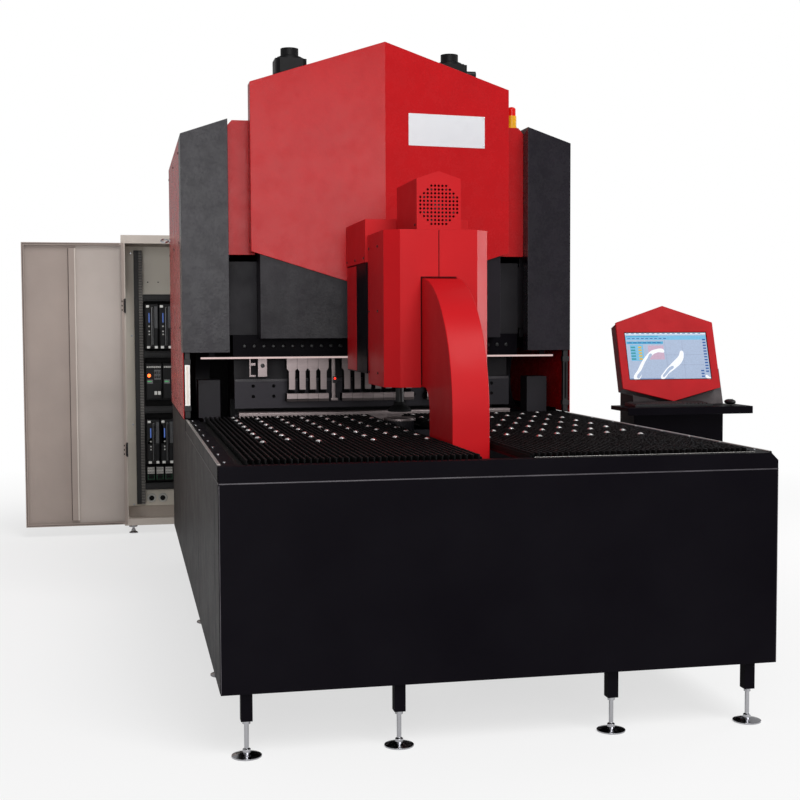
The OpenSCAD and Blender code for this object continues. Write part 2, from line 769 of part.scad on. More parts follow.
// Clamping bar with a row of bolt holes
module tool_holder() color(black) {
    bolt_pitch = 50;
    bolt_r = 11;
    bolts = floor((holder_half_l - 30) / bolt_pitch);
    difference() {
        block(-holder_half_l, holder_half_l, holder_y0, holder_y1, holder_z, ram_z);
        for (i = [-bolts:bolts]) translate([i * bolt_pitch, holder_y0 - over, (holder_z + ram_z) / 2])
            rotate([-90, 0, 0]) cylinder(h = over + 10, r = bolt_r, $fn = 24);
    }
}

// Shouldered press tool with a slim shank and a toe that reaches back to the bending line
module press_tool() {
    toe_h = 42;
    shank_z = tool_z + 62;
    shoulder_z = holder_z - 70;
    half = tool_w / 2;
    stem = shank_w / 2;
    along_y(tool_y0, -tool_y0) polygon([[-stem, shank_z], [stem, shank_z], [stem, shoulder_z],
        [half, shoulder_z + 14], [half, holder_z], [-half, holder_z], [-half, shoulder_z + 14],
        [-stem, shoulder_z]]);
    block(-stem, stem, 0, -tool_y0, tool_z + toe_h - 4, shank_z + 1);
    along_x(-half, half) polygon([[tool_y0, tool_z + 6], [tool_y0 + 6, tool_z], [tool_toe_y - 6, tool_z],
        [tool_toe_y, tool_z + 5], [tool_toe_y, tool_z + 15], [-tool_y0, tool_z + toe_h],
        [tool_y0, tool_z + toe_h]]);
}

module press_tools() color(steel) {
    side_x0 = tools_mid / 2 * tool_pitch + tool_group_gap;
    for (i = [0:tools_mid - 1]) translate([(i - (tools_mid - 1) / 2) * tool_pitch, 0, 0]) press_tool();
    both() for (i = [0:tools_side - 1]) translate([side_x0 + (i + 0.5) * tool_pitch, 0, 0]) press_tool();
}

// Ball screw with its coupling and drive end
module ram_screw() color(steel) rotate_extrude() polygon([[0, ram_z + 180], [screw_r, ram_z + 180],
    [screw_r, frame_top_z + 150], [screw_r + 15, frame_top_z + 150], [screw_r + 15, motor_z - 30],
    [16, motor_z - 30], [16, motor_z - run_gap], [0, motor_z - run_gap]]);

module screw_left() translate([-screw_x, screw_y, 0]) ram_screw();
module screw_right() translate([screw_x, screw_y, 0]) ram_screw();

module bend_carriage() color(charcoal) both() {
    half = lift_rail_w / 2;
    foot_z = slide_z + 2;
    block(0, slide_x + 50, carriage_y0, carriage_y1, foot_z + 48, ram_z);
    block(lift_rail_x - half, lift_rail_x + half, carriage_y0 - lift_rail_d, carriage_y0, beam_low_z - 100,
        ram_z - 20);
    difference() {
        block(slide_x - 60, slide_x + 60, carriage_y0, carriage_y0 + 340, foot_z, foot_z + 48);
        block(slide_x - slide_w / 2 - run_gap, slide_x + slide_w / 2 + run_gap, carriage_y0 - over,
            carriage_y0 + 340 + over, foot_z - over, slide_z + slide_h + run_gap);
    }
    along_x(slide_x - 30, slide_x + 30) polygon([[carriage_y1, foot_z + 48], [carriage_y0 + 340, foot_z + 48],
        [carriage_y1, ram_z - 300]]);
}

module bend_beam() color(charcoal) {
    half = lift_rail_w / 2;
    shoe_y = carriage_y0 - 2;
    along_x(-blade_half_l, blade_half_l) polygon([[blade_y, beam_low_z], [web_y1, beam_low_z],
        [web_y1, beam_top_z], [blade_back_y, beam_top_z], [blade_back_y, lip_z], [web_y0 - 40, lip_z],
        [web_y0, lip_z - 40], [web_y0, jaw_z + 40], [web_y0 - 40, jaw_z], [blade_y, jaw_z]]);
    both() difference() {
        block(lift_rail_x - 60, lift_rail_x + 60, web_y1 - 1, shoe_y, beam_low_z + 100, beam_top_z - 100);
        block(lift_rail_x - half - run_gap, lift_rail_x + half + run_gap,
            carriage_y0 - lift_rail_d - run_gap, shoe_y + over, beam_low_z, beam_top_z);
    }
}

module upper_blade() color("#5d5f63") {
    tip_z = pass_z + upper_tip;
    low_z = pass_z + 56;
    high_z = pass_z + 170;
    bolts = floor(blade_half_l / blade_bolt_pitch);
    difference() {
        along_x(-blade_half_l, blade_half_l) polygon([[blade_y, low_z], [blade_y, tip_z],
            [blade_y + 9, tip_z], [blade_back_y, low_z + 14], [blade_back_y, high_z], [blade_y, high_z]]);
        for (i = [-bolts:bolts], z = [low_z + 22, low_z + 76])
            translate([i * blade_bolt_pitch, blade_y - over, z]) rotate([-90, 0, 0])
                cylinder(h = over + 12, r = 9, $fn = 24);
    }
}

module lower_blade() color("#5d5f63") {
    tip_z = pass_z - lower_tip;
    along_x(-blade_half_l, blade_half_l) polygon([[blade_y, jaw_z], [blade_back_y, jaw_z],
        [blade_back_y, tip_z - 30], [blade_y + 9, tip_z], [blade_y, tip_z]]);
}

// Slide below the table: plate on four guide shoes, with the pedestal of the lower disc
module carriage() color(charcoal) {
    plate_back_y = 72 - clamp_axis;
    shoe_w = rail_bar_w + 36;
    rail_gap = rail_bar_w / 2 + run_gap;
    block(-rail_beam_x - 32, rail_beam_x + 32, foot_y0, plate_back_y, carriage_plate_z, arm_base_z);
    both() for (y = [foot_y0 + 20, plate_back_y - 160]) difference() {
        block(rail_beam_x - shoe_w / 2, rail_beam_x + shoe_w / 2, y, y + 140, rail_top_z - 16,
            carriage_plate_z + 1);
        block(rail_beam_x - rail_gap, rail_beam_x + rail_gap, y - over, y + 140 + over,
            rail_top_z - 16 - over, rail_top_z + run_gap);
    }
    difference() {
        post(0, -clamp_axis, pedestal_r, arm_base_z - 1, pass_z - disc_t - run_gap);
        post(0, -clamp_axis, spindle_r + 5 + run_gap, pass_z - 70, pass_z + over);
    }
}

// Points of the arm's front curve, a quarter ellipse from the foot to the head
function arm_curve() = [for (a = [0:6:90])
    [-head_front - (arm_front - head_front) * cos(a), arm_knee_z + (arm_top_z - arm_knee_z) * sin(a)]];

// Curved arm: foot in the slot, elliptic front and a flared throat at the back
module arm() color(red) {
    flare_r = 85;
    flare_y = foot_y1 + flare_r;
    along_x(-arm_half_w, arm_half_w) polygon(concat([[foot_y0, arm_base_z]], arm_curve(),
        [[arm_in_y, arm_top_z], [arm_in_y, head_z + 1], [flare_y + 20, head_z + 1]],
        [for (a = [90:15:180]) [flare_y + flare_r * cos(a), head_z + 1 - flare_r + flare_r * sin(a)]],
        [[foot_y1, arm_base_z]]));
}

// Plan of the head with chamfered front corners, drawn in by the given amount
function head_plan(t) = [[t - head_half_w, head_back_y - t], [t - head_half_w, head_chamfer - head_front],
    [head_chamfer - head_half_w + t * 0.41, t - head_front],
    [head_half_w - head_chamfer - t * 0.41, t - head_front],
    [head_half_w - t, head_chamfer - head_front], [head_half_w - t, head_back_y - t]];

module head_shell() color(red) {
    notch = arm_half_w + 3;
    difference() {
        translate([0, 0, head_z]) linear_extrude(head_h) polygon(head_plan(0));
        translate([0, 0, head_z + sheet_t]) linear_extrude(head_h - 2 * sheet_t) polygon(head_plan(sheet_t));
        block(-notch, notch, -head_front - over, sheet_t - head_front + 1, head_z - over, arm_top_z + 3);
        block(-notch, notch, -head_front - over, arm_in_y, head_z - over, head_z + sheet_t + 1);
        block(-1.5, 1.5, -head_front - over, 1.5 - head_front, arm_top_z, head_top_z + over);
    }
    block(sheet_t - head_half_w, head_half_w - sheet_t, arm_in_y, arm_in_y + 12, head_z + sheet_t,
        head_top_z - sheet_t);
}

// Gabled fan cover with a round field of holes in its front
module fan_cover() color(red) {
    back_y = head_back_y - 15;
    rows = 5;
    centre_z = head_top_z + 103;
    eaves_z = head_top_z + fan_h;
    difference() {
        along_y(-head_front, back_y) polygon([[-fan_half_w, head_top_z], [fan_half_w, head_top_z],
            [fan_half_w, eaves_z], [0, eaves_z + fan_ridge], [-fan_half_w, eaves_z]]);
        along_y(sheet_t - head_front, back_y - sheet_t) polygon([[sheet_t - fan_half_w, head_top_z - over],
            [fan_half_w - sheet_t, head_top_z - over], [fan_half_w - sheet_t, eaves_z - 2],
            [0, eaves_z + fan_ridge - sheet_t - 1], [sheet_t - fan_half_w, eaves_z - 2]]);
        for (i = [-rows:rows], j = [-rows:rows]) if (i * i + j * j < (rows + 0.6) * (rows + 0.6))
            translate([i * hole_pitch, -head_front - over, centre_z + j * hole_pitch]) rotate([-90, 0, 0])
                cylinder(h = 2 * over + sheet_t, r = hole_r, $fn = 16);
    }
}

module rear_cover() color(red) {
    half_w = head_half_w + 12;
    back_y = housing_back_y + 10;
    top_z = housing_cap_z + rear_cover_h;
    difference() {
        block(-half_w, half_w, head_back_y, back_y, housing_cap_z, top_z);
        block(sheet_t - half_w, half_w - sheet_t, head_back_y + sheet_t, back_y - sheet_t,
            housing_cap_z - over, top_z - sheet_t);
    }
}

// Housing of the clamp spindle with its guide sleeve
module spindle_housing() color(black) {
    half_w = head_half_w + 7;
    wall = 8;
    bore_r = spindle_r + run_gap;
    difference() {
        union() {
            difference() {
                block(-half_w, half_w, head_back_y, housing_back_y, housing_z, housing_cap_z);
                block(wall - half_w, half_w - wall, head_back_y + wall, housing_back_y - wall,
                    housing_z + wall, housing_cap_z - wall);
            }
            post(0, -clamp_axis, spindle_r + 20, housing_z, housing_cap_z - 60);
        }
        post(0, -clamp_axis, bore_r, housing_z - over, housing_cap_z - 80);
    }
}

module clamp_spindle() color(steel)
    post(0, -clamp_axis, spindle_r, pad_z + pad_h - pad_socket + run_gap, housing_cap_z - 240);

module clamp_pad() color(black) translate([0, -clamp_axis, pad_z]) difference() {
    rotate_extrude() polygon([[0, 0], [pad_r - 3, 0], [pad_r, 3], [pad_r, 10], [spindle_r + 10, 34],
        [spindle_r + 10, pad_h], [0, pad_h]]);
    translate([0, 0, pad_h - pad_socket]) cylinder(h = pad_socket + over, r = spindle_r + run_gap);
}

module lower_disc() color("#3a3b3e") translate([0, -clamp_axis, 0]) rotate_extrude()
    polygon([[0, pass_z - 60], [spindle_r + 5, pass_z - 60], [spindle_r + 5, pass_z - disc_t],
        [disc_r, pass_z - disc_t], [disc_r, pass_z - 3], [disc_r - 3, pass_z], [0, pass_z]]);

// Frame of the tilted screen: X across, Y back, Z up the slope, from the lower tip
module on_screen() {
    translate([console_x, bezel_tip_y, bezel_tip_z]) rotate([-screen_tilt, 0, 0]) children();
}

// Six-sided outline of the console head
function bezel_outline(half_w, inset) = [[0, inset], [half_w, 74 + inset / 2],
    [half_w, bezel_h - 97 - inset / 2], [0, bezel_h - inset], [-half_w, bezel_h - 97 - inset / 2],
    [-half_w, 74 + inset / 2]];

screen_low = 122;

module console_body() color(black) {
    wall_x = console_half_w;
    back_y = console_front_y + console_d;
    on_screen() along_y(bezel_t, bezel_t + shell_d) polygon(bezel_outline(bezel_half_w - 6, 6));
    translate([console_x + pedestal_shift, 0, 0]) {
        block(-wall_x - 10, wall_x + 10, console_front_y - 40, back_y + 20, 0, 20);
        block(-wall_x, wall_x, console_front_y, back_y, 20, tray_z - 22);
        along_x(-wall_x, wall_x) polygon([[console_front_y, tray_z - 22], [back_y, tray_z - 22],
            [back_y, tray_z + 60], [back_y - 120, tray_z + 190], [console_front_y + 60, tray_z + 190],
            [console_front_y, tray_z]]);
    }
}

module bezel() color(red) on_screen() difference() {
    along_y(0, bezel_t) polygon(bezel_outline(bezel_half_w, 0));
    block(-screen_half_w, screen_half_w, -over, bezel_t - 4, screen_low, screen_low + screen_h);
}

module screen() color("#3f6fb0") on_screen()
    block(-screen_half_w, screen_half_w, 4, bezel_t - 4, screen_low, screen_low + screen_h);

module tray() color(black) translate([console_x, 0, 0]) {
    tray_t = 20;
    front_y = console_front_y - 250;
    block(-335, 375, front_y, console_front_y, tray_z - tray_t - 2, tray_z);
    block(-335, 375, front_y, front_y + 8, tray_z - 40, tray_z - tray_t - 2);
}

module keyboard() color("#1b1c1e") translate([console_x - 60, console_front_y - 215, tray_z]) {
    key = 17;
    pitch = 22;
    along_x(-220, 220) polygon([[0, 0], [150, 0], [150, 20], [0, 12]]);
    for (i = [0:18], j = [0:5]) translate([(i - 9) * pitch - key / 2, 10 + j * pitch, 0])
        block(0, key, 0, key, 10, 17 + j * 1.2);
}

module mouse() color("#1b1c1e") translate([console_x + 290, console_front_y - 150, tray_z]) intersection() {
    translate([0, 0, -18]) sphere(r = 58);
    block(-30, 30, -55, 55, 0, 40);
}

// Cabinet shell with a folded rim round the opening and the fixed hinge halves
module cabinet_body() color(pebble) {
    rim = 28;
    t = cabinet_t;
    knuckle_r = 5.5;
    pin_r = 3;
    difference() {
        block(cabinet_x0, cabinet_x1, cabinet_front, cabinet_back_y, cabinet_z, cabinet_top_z);
        block(cabinet_x0 + t, cabinet_x1 - t, cabinet_front + t, cabinet_back_y - t, cabinet_z + t,
            cabinet_top_z - t);
        block(cabinet_x0 + rim, cabinet_x1 - rim, cabinet_front - over, cabinet_front + t + 1,
            cabinet_z + rim + 20, cabinet_top_z - rim - 30);
    }
    for (z = hinge_zs) {
        post(hinge_x, hinge_y, pin_r, z - 50, z + 50);
        for (dz = [-50, 20]) {
            post(hinge_x, hinge_y, knuckle_r, z + dz, z + dz + 30);
            block(hinge_x - 3.5, hinge_x + 3.5, hinge_y, cabinet_front, z + dz, z + dz + 30);
        }
    }
}

// Door pan with return flanges, a hat stiffener and the turning hinge halves
module cabinet_door() color(pebble) {
    t = 2.5;
    lip = 18;
    hat_x = (door_x0 + door_x1) / 2 - 6;
    hat_half = 24;
    knuckle_r = 5.5;
    z1 = door_z + door_h;
    difference() {
        block(door_x0, door_x1, door_y0, door_y1, door_z, z1);
        block(door_x0 + t, door_x1 - t, door_y0 + t, door_y1 - t, door_z + t, z1 - t);
        block(door_x0 + lip, door_x1 - lip, door_y0 - over, door_y0 + t + 1, door_z + lip, z1 - lip);
    }
    block(hat_x - hat_half, hat_x + hat_half, door_y0 + 4, door_y1 - t + 0.5, door_z + lip + 20,
        z1 - lip - 20);
    for (z = hinge_zs) difference() {
        union() {
            post(hinge_x, hinge_y, knuckle_r, z - 20 + run_gap, z + 20 - run_gap);
            block(door_x1 - 1, hinge_x, hinge_y - 3, hinge_y + 3, z - 20 + run_gap, z + 20 - run_gap);
        }
        post(hinge_x, hinge_y, 3 + run_gap, z - 30, z + 30);
    }
}

// Swing lever on the outside of the door
module door_handle() color(black) translate([door_x0 + 40, door_y1 + run_gap, door_z + handle_h]) {
    rotate([-90, 0, 0]) cylinder(h = 14, r = 16);
    block(-12, 12, 10, 24, -110, 14);
}

module back_plate() color("#d9d3c2")
    block(cabinet_x0 + 30, cabinet_x1 - 30, plate_y, plate_y + 46, cabinet_z + 90, cabinet_top_z - 60);

// Rows of terminals, servo drives and controllers: height, count, width, height and depth of each
device_rows = [[280, 8, 58, 110, 70], [415, 5, 92, 320, 190], [870, 4, 116, 270, 80],
    [1245, 5, 92, 320, 190]];

module drive_units() color(black) {
    gap = 6;
    front = 8;
    x0 = cabinet_x0 + device_inset;
    for (row = device_rows) for (i = [0:row[1] - 1])
        translate([x0 + i * (row[2] + gap), 0, cabinet_z + row[0]]) {
            block(0, row[2], plate_y - row[4], plate_y, 0, row[3]);
            block(gap, row[2] - gap, plate_y - row[4] - front, plate_y - row[4], 10, row[3] * 0.45);
        }
}

module wire_ducts() color("#26272a") {
    duct_d = 70;
    x0 = cabinet_x0 + duct_inset;
    block(x0, x0 + duct_w, plate_y - duct_d, plate_y, cabinet_z + 110, cabinet_top_z - 90);
    for (z = [215, 775, 1180, 1590]) block(x0 + duct_w + 2, cabinet_x1 - 60, plate_y - duct_d, plate_y,
        cabinet_z + z, cabinet_z + z + duct_h);
}

base_bed();
side_frame_left();
side_frame_right();
crown_beam();
lower_die();
ram_motors();
column_covers();
side_panels();
side_skirts();
rear_panel();
upper_housing();
hood_front();
light_bar();
light_curtains();
beacon_base();
beacon_lens();
table_frames();
deck_left();
deck_right();
brush_left();
brush_right();
balls_left();
balls_right();
front_fascia();
front_skirt();
side_rails();
levelling_feet();
travel_rails();
ram_beam();
ram_cover();
tool_holder();
press_tools();
screw_left();
screw_right();
bend_carriage();
bend_beam();
upper_blade();
lower_blade();
carriage();
arm();
head_shell();
fan_cover();
rear_cover();
spindle_housing();
clamp_spindle();
clamp_pad();
lower_disc();
console_body();
bezel();
screen();
tray();
keyboard();
mouse();
cabinet_body();
cabinet_door();
door_handle();
back_plate();
drive_units();
wire_ducts();
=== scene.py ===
"""Dresses a servo panel bender: finishes for its solids, and the fine pieces that the solids leave out.

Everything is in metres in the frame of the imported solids: +Z up, +Y away from the operator, origin on the
floor below the middle of the bending line.
"""

from __future__ import annotations

import json
import logging
import math
from dataclasses import dataclass
from enum import Enum
from typing import Callable, Iterable, Optional, Sequence, Union

import bpy
import numpy as np
from mathutils import Matrix, Vector

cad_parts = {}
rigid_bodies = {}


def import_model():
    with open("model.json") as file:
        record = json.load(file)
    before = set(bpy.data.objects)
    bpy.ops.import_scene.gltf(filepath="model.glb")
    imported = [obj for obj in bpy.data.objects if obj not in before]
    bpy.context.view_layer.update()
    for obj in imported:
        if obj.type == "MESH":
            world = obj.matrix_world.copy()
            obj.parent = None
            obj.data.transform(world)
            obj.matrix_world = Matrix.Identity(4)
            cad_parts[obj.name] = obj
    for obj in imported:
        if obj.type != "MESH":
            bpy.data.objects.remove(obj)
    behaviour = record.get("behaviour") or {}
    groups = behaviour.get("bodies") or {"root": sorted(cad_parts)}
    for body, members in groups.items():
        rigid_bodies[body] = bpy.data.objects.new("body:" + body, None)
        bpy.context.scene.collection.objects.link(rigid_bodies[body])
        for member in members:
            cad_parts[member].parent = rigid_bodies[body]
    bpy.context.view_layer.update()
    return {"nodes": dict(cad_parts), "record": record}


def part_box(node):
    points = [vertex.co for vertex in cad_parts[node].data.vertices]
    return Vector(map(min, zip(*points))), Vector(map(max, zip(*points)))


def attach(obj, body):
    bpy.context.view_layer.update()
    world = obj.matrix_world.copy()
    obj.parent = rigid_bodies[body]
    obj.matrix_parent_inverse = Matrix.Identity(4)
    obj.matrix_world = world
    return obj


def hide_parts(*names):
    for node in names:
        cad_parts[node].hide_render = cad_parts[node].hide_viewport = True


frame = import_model()
LOG = logging.getLogger("panel_bender")
MM = 0.001

Place = tuple[float, float, float]
Area = tuple[float, float, float, float]
Piece = bpy.types.Object
Tree = bpy.types.NodeTree
Socket = bpy.types.NodeSocket
Test = Callable[[Vector, Vector], bool]
UP: Place = (0.0, 0.0, 1.0)
FRONT: Place = (0.0, -1.0, 0.0)
BACK: Place = (0.0, 1.0, 0.0)
SHARP_ANGLE = 32.0
NODE_BODY: dict[str, str] = {
    node: body for body, nodes in frame["record"]["behaviour"]["bodies"].items() for node in nodes
}
NODE_SLOT: dict[str, str] = {s["node"]: s["material_slot"] for s in frame["record"]["subparts"]}


def linear(code: str, share: float = 1.0) -> tuple[float, float, float, float]:
    """Turns an sRGB hex colour into linear values.

    Args:
        code: Colour such as "#c3161c".
        share: Share of the colour's light that is kept.

    Returns:
        Linear red, green, blue and an alpha of 1.
    """
    parts = [int(code[i : i + 2], 16) / 255 for i in (1, 3, 5)]
    values = [share * (p / 12.92 if p <= 0.04045 else ((p + 0.055) / 1.055) ** 2.4) for p in parts]
    return (values[0], values[1], values[2], 1.0)


def per_metre(size_mm: float) -> float:
    """Gives the pattern scale at which one feature is size_mm across."""
    return 1000.0 / size_mm


def feed(tree: Tree, node: bpy.types.Node, inputs: dict) -> None:
    """Gives a node's inputs their values and links.

    Args:
        tree: Node tree of the node.
        node: Node that is fed.
        inputs: Input name or number to a value, or to the output socket that is linked there.
    """
    for key, value in inputs.items():
        if isinstance(value, Socket):
            tree.links.new(value, node.inputs[key])
        else:
            node.inputs[key].default_value = value


def add(tree: Tree, kind: str, inputs: Optional[dict] = None, **settings) -> bpy.types.Node:
    """Adds a node.

    Args:
        tree: Node tree that takes the node.
        kind: Type name of the node.
        inputs: What feed() gives to its inputs.
        settings: Properties of the node itself.

    Returns:
        The new node.
    """
    node = tree.nodes.new(kind)
    for key, value in settings.items():
        setattr(node, key, value)
    feed(tree, node, inputs or {})
    return node


def noise(tree: Tree, size_mm: float, detail: float, weight: float = 0.5) -> Socket:
    """Gives a cloudy pattern round 0.5.

    Args:
        tree: Node tree that takes the pattern.
        size_mm: Size of its largest features.
        detail: Octaves of finer features.
        weight: Weight of each octave against the one before.

    Returns:
        The pattern.
    """
    spot = add(tree, "ShaderNodeTexCoord").outputs["Object"]
    return add(tree, "ShaderNodeTexNoise", {
        "Vector": spot, "Scale": per_metre(size_mm), "Detail": detail, "Roughness": weight}).outputs["Fac"]


def streaks(tree: Tree, sizes_mm: Sequence[float], detail: float) -> Socket:
    """Gives a pattern like noise() whose features have a size of their own along each axis."""
    spot = add(tree, "ShaderNodeTexCoord").outputs["Object"]
    drawn = add(tree, "ShaderNodeMapping", {"Vector": spot, "Scale": [per_metre(size) for size in sizes_mm]})
    return add(tree, "ShaderNodeTexNoise", {
        "Vector": drawn.outputs[0], "Scale": 1.0, "Detail": detail}).outputs["Fac"]


def ramp(tree: Tree, value: Socket, start: float, end: float, low: float = 0.0, high: float = 1.0) -> Socket:
    """Maps the values from start to end onto low to high, and holds them beyond."""
    return add(tree, "ShaderNodeMapRange", {
        "Value": value, "From Min": start, "From Max": end, "To Min": low, "To Max": high}).outputs[0]


def blend(tree: Tree, share: Socket, first: str, second: str) -> Socket:
    """Mixes two sRGB colours, from the first at a share of 0 to the second at 1."""
    return add(tree, "ShaderNodeMix", {0: share, 6: linear(first), 7: linear(second)},
               data_type="RGBA").outputs[2]


def bump(tree: Tree, height: Socket, strength: float, depth_mm: float) -> Socket:
    """Gives normals that a pattern of heights tilts."""
    return add(tree, "ShaderNodeBump", {
        "Height": height, "Strength": strength, "Distance": depth_mm * MM}).outputs[0]


def combine(tree: Tree, operation: str, first: Socket, second: Union[Socket, float]) -> Socket:
    """Joins two values by an operation such as ADD."""
    return add(tree, "ShaderNodeMath", {0: first, 1: second}, operation=operation).outputs[0]


def new_material(name: str) -> tuple[bpy.types.Material, Tree, bpy.types.Node]:
    """Starts a material.

    Args:
        name: Name of the finish.

    Returns:
        The material, its node tree and its surface shader.
    """
    material = bpy.data.materials.new(name)
    material.use_nodes = True
    tree = material.node_tree
    return material, tree, tree.nodes["Principled BSDF"]


@dataclass(frozen=True)
class PowderCoat:
    """Powder-coated steel sheet: baked resin with a pebbled skin that spreads the highlight into a soft sheen.

    Attributes:
        name: Name of the finish.
        colour: Main colour.
        tone: Colour of the faint cloudy patches.
        roughness: Mean roughness of the skin.
        shine: Specular level of the resin.
        grain_mm: Size of the pebbles. The real ones are under 1 mm and are drawn coarser so that they show.
        relief_mm: Height of the pebbles.
        cloud_mm: Size of the patches of colour.
        scuff_mm: Size of the patches that wiping leaves a little duller.
        wipe: How much roughness changes between such patches.
    """

    name: str
    colour: str
    tone: str
    roughness: float = 0.42
    shine: float = 0.3
    grain_mm: float = 3.0
    relief_mm: float = 0.12
    cloud_mm: float = 420.0
    scuff_mm: float = 120.0
    wipe: float = 0.06

    def build(self) -> bpy.types.Material:
        """Builds the material."""
        material, tree, shader = new_material(self.name)
        cloud = noise(tree, self.cloud_mm, 5.0)
        grain = noise(tree, self.grain_mm, 2.0)
        scuff = noise(tree, self.scuff_mm, 6.0, 0.6)
        dull = ramp(tree, scuff, 0.35, 0.68, self.roughness - self.wipe, self.roughness + self.wipe)
        feed(tree, shader, {
            "Base Color": blend(tree, ramp(tree, cloud, 0.35, 0.7), self.colour, self.tone),
            "Roughness": combine(tree, "ADD", dull, ramp(tree, grain, 0.3, 0.7, -0.04, 0.04)),
            "Normal": bump(tree, grain, 0.7, self.relief_mm),
            "Specular IOR Level": self.shine})
        return material


class Lay(Enum):
    """Direction in which the grinding lines of a metal run."""

    X = 0
    Y = 1
    Z = 2


@dataclass(frozen=True)
class GroundSteel:
    """Ground or milled steel: fine parallel lines that stretch the highlight across them.

    Attributes:
        name: Name of the finish.
        colour: Colour of the bare metal.
        tone: Colour between the bright lines.
        roughness: Mean roughness.
        lay: Direction of the lines.
        line_mm: Spacing of the lines, drawn coarser than the real grit so that they show.
        streak_mm: Length of a line.
    """

    name: str
    colour: str
    tone: str
    roughness: float = 0.34
    lay: Lay = Lay.X
    line_mm: float = 2.5
    streak_mm: float = 160.0

    def build(self) -> bpy.types.Material:
        """Builds the material."""
        material, tree, shader = new_material(self.name)
        sizes_mm = [self.line_mm] * 3
        sizes_mm[self.lay.value] = self.streak_mm
        lines = streaks(tree, sizes_mm, 3.0)
        feed(tree, shader, {
            "Base Color": blend(tree, lines, self.tone, self.colour),
            "Roughness": ramp(tree, lines, 0.3, 0.7, self.roughness - 0.08, self.roughness + 0.1),
            "Normal": bump(tree, lines, 0.35, 0.05),
            "Metallic": 1.0})
        return material


@dataclass(frozen=True)
class PolishedSteel:
    """Chromed or polished steel: a mirror with a little haze from handling.

    Attributes:
        name: Name of the finish.
        colour: Colour of the metal.
        roughness: Roughness where it is clean.
        haze_mm: Size of the handling marks.
    """

    name: str
    colour: str
    roughness: float = 0.08
    haze_mm: float = 18.0

    def build(self) -> bpy.types.Material:
        """Builds the material."""
        material, tree, shader = new_material(self.name)
        haze = noise(tree, self.haze_mm, 4.0)
        feed(tree, shader, {
            "Base Color": linear(self.colour),
            "Roughness": ramp(tree, haze, 0.4, 0.75, self.roughness, self.roughness + 0.14),
            "Metallic": 1.0})
        return material


@dataclass(frozen=True)
class Moulded:
    """Moulded plastic or rubber: spark-eroded grain, a soft highlight and faint dust in the grain.

    Attributes:
        name: Name of the finish.
        colour: Colour of the plastic.
        tone: Colour of the dust in the grain.
        roughness: Mean roughness.
        shine: Specular level.
        grain_mm: Size of the grain, drawn coarser than the real one so that it shows.
        dust_mm: Size of the dusty patches.
    """

    name: str
    colour: str
    tone: str
    roughness: float = 0.5
    shine: float = 0.4
    grain_mm: float = 2.0
    dust_mm: float = 60.0

    def build(self) -> bpy.types.Material:
        """Builds the material."""
        material, tree, shader = new_material(self.name)
        grain = noise(tree, self.grain_mm, 3.0)
        dust = ramp(tree, noise(tree, self.dust_mm, 5.0), 0.45, 0.8)
        feed(tree, shader, {
            "Base Color": blend(tree, dust, self.colour, self.tone),
            "Roughness": ramp(tree, grain, 0.3, 0.7, self.roughness - 0.05, self.roughness + 0.08),
            "Normal": bump(tree, grain, 0.4, 0.08),
            "Specular IOR Level": self.shine})
        return material


@dataclass(frozen=True)
class BrushFibre:
    """Dense nylon brush: darker at the roots and slightly greyer towards the tips, streaked along the fibres.

    Attributes:
        name: Name of the finish.
        root: Colour between the tufts.
        tip: Colour of the fibre ends.
        root_z: Height of the roots.
        tip_z: Height of the tips.
        lock_mm: Thickness of a lock of fibres. A fibre is 0.3 mm thick and wouldn't show.
        streak_mm: Length of a lock.
    """

    name: str
    root: str
    tip: str
    root_z: float = 1.000
    tip_z: float = 1.014
    lock_mm: float = 1.6
    streak_mm: float = 30.0

    def build(self) -> bpy.types.Material:
        """Builds the material."""
        material, tree, shader = new_material(self.name)
        spot = add(tree, "ShaderNodeTexCoord").outputs["Object"]
        height = add(tree, "ShaderNodeSeparateXYZ", {"Vector": spot}).outputs["Z"]
        fibre = streaks(tree, (self.lock_mm, self.lock_mm, self.streak_mm), 2.0)
        share = combine(tree, "MULTIPLY", ramp(tree, height, self.root_z, self.tip_z),
                        ramp(tree, fibre, 0.25, 0.65))
        feed(tree, shader, {
            "Base Color": blend(tree, share, self.root, self.tip),
            "Normal": bump(tree, fibre, 0.8, 0.6),
            "Roughness": 0.62,
            "Specular IOR Level": 0.15})
        return material


@dataclass(frozen=True)
class Lit:
    """A surface that shines by itself: a diffuser, a lamp lens or a field of a display.

    Attributes:
        name: Name of the finish.
        colour: Colour of the light.
        strength: Strength of the light.
        roughness: Roughness of the cover.
        mesh_mm: Size of the faint unevenness in the light.
        body: Share of the colour that the unlit surface keeps.
    """

    name: str
    colour: str
    strength: float
    roughness: float = 0.3
    mesh_mm: float = 6.0
    body: float = 0.1

    def build(self) -> bpy.types.Material:
        """Builds the material."""
        material, tree, shader = new_material(self.name)
        uneven = noise(tree, self.mesh_mm, 1.0)
        feed(tree, shader, {
            "Base Color": linear(self.colour, self.body),
            "Roughness": self.roughness,
            "Specular IOR Level": 0.25,
            "Emission Color": linear(self.colour),
            "Emission Strength": ramp(tree, uneven, 0.3, 0.7, self.strength * 0.9, self.strength * 1.05)})
        return material


Finish = Union[PowderCoat, GroundSteel, PolishedSteel, Moulded, BrushFibre, Lit]

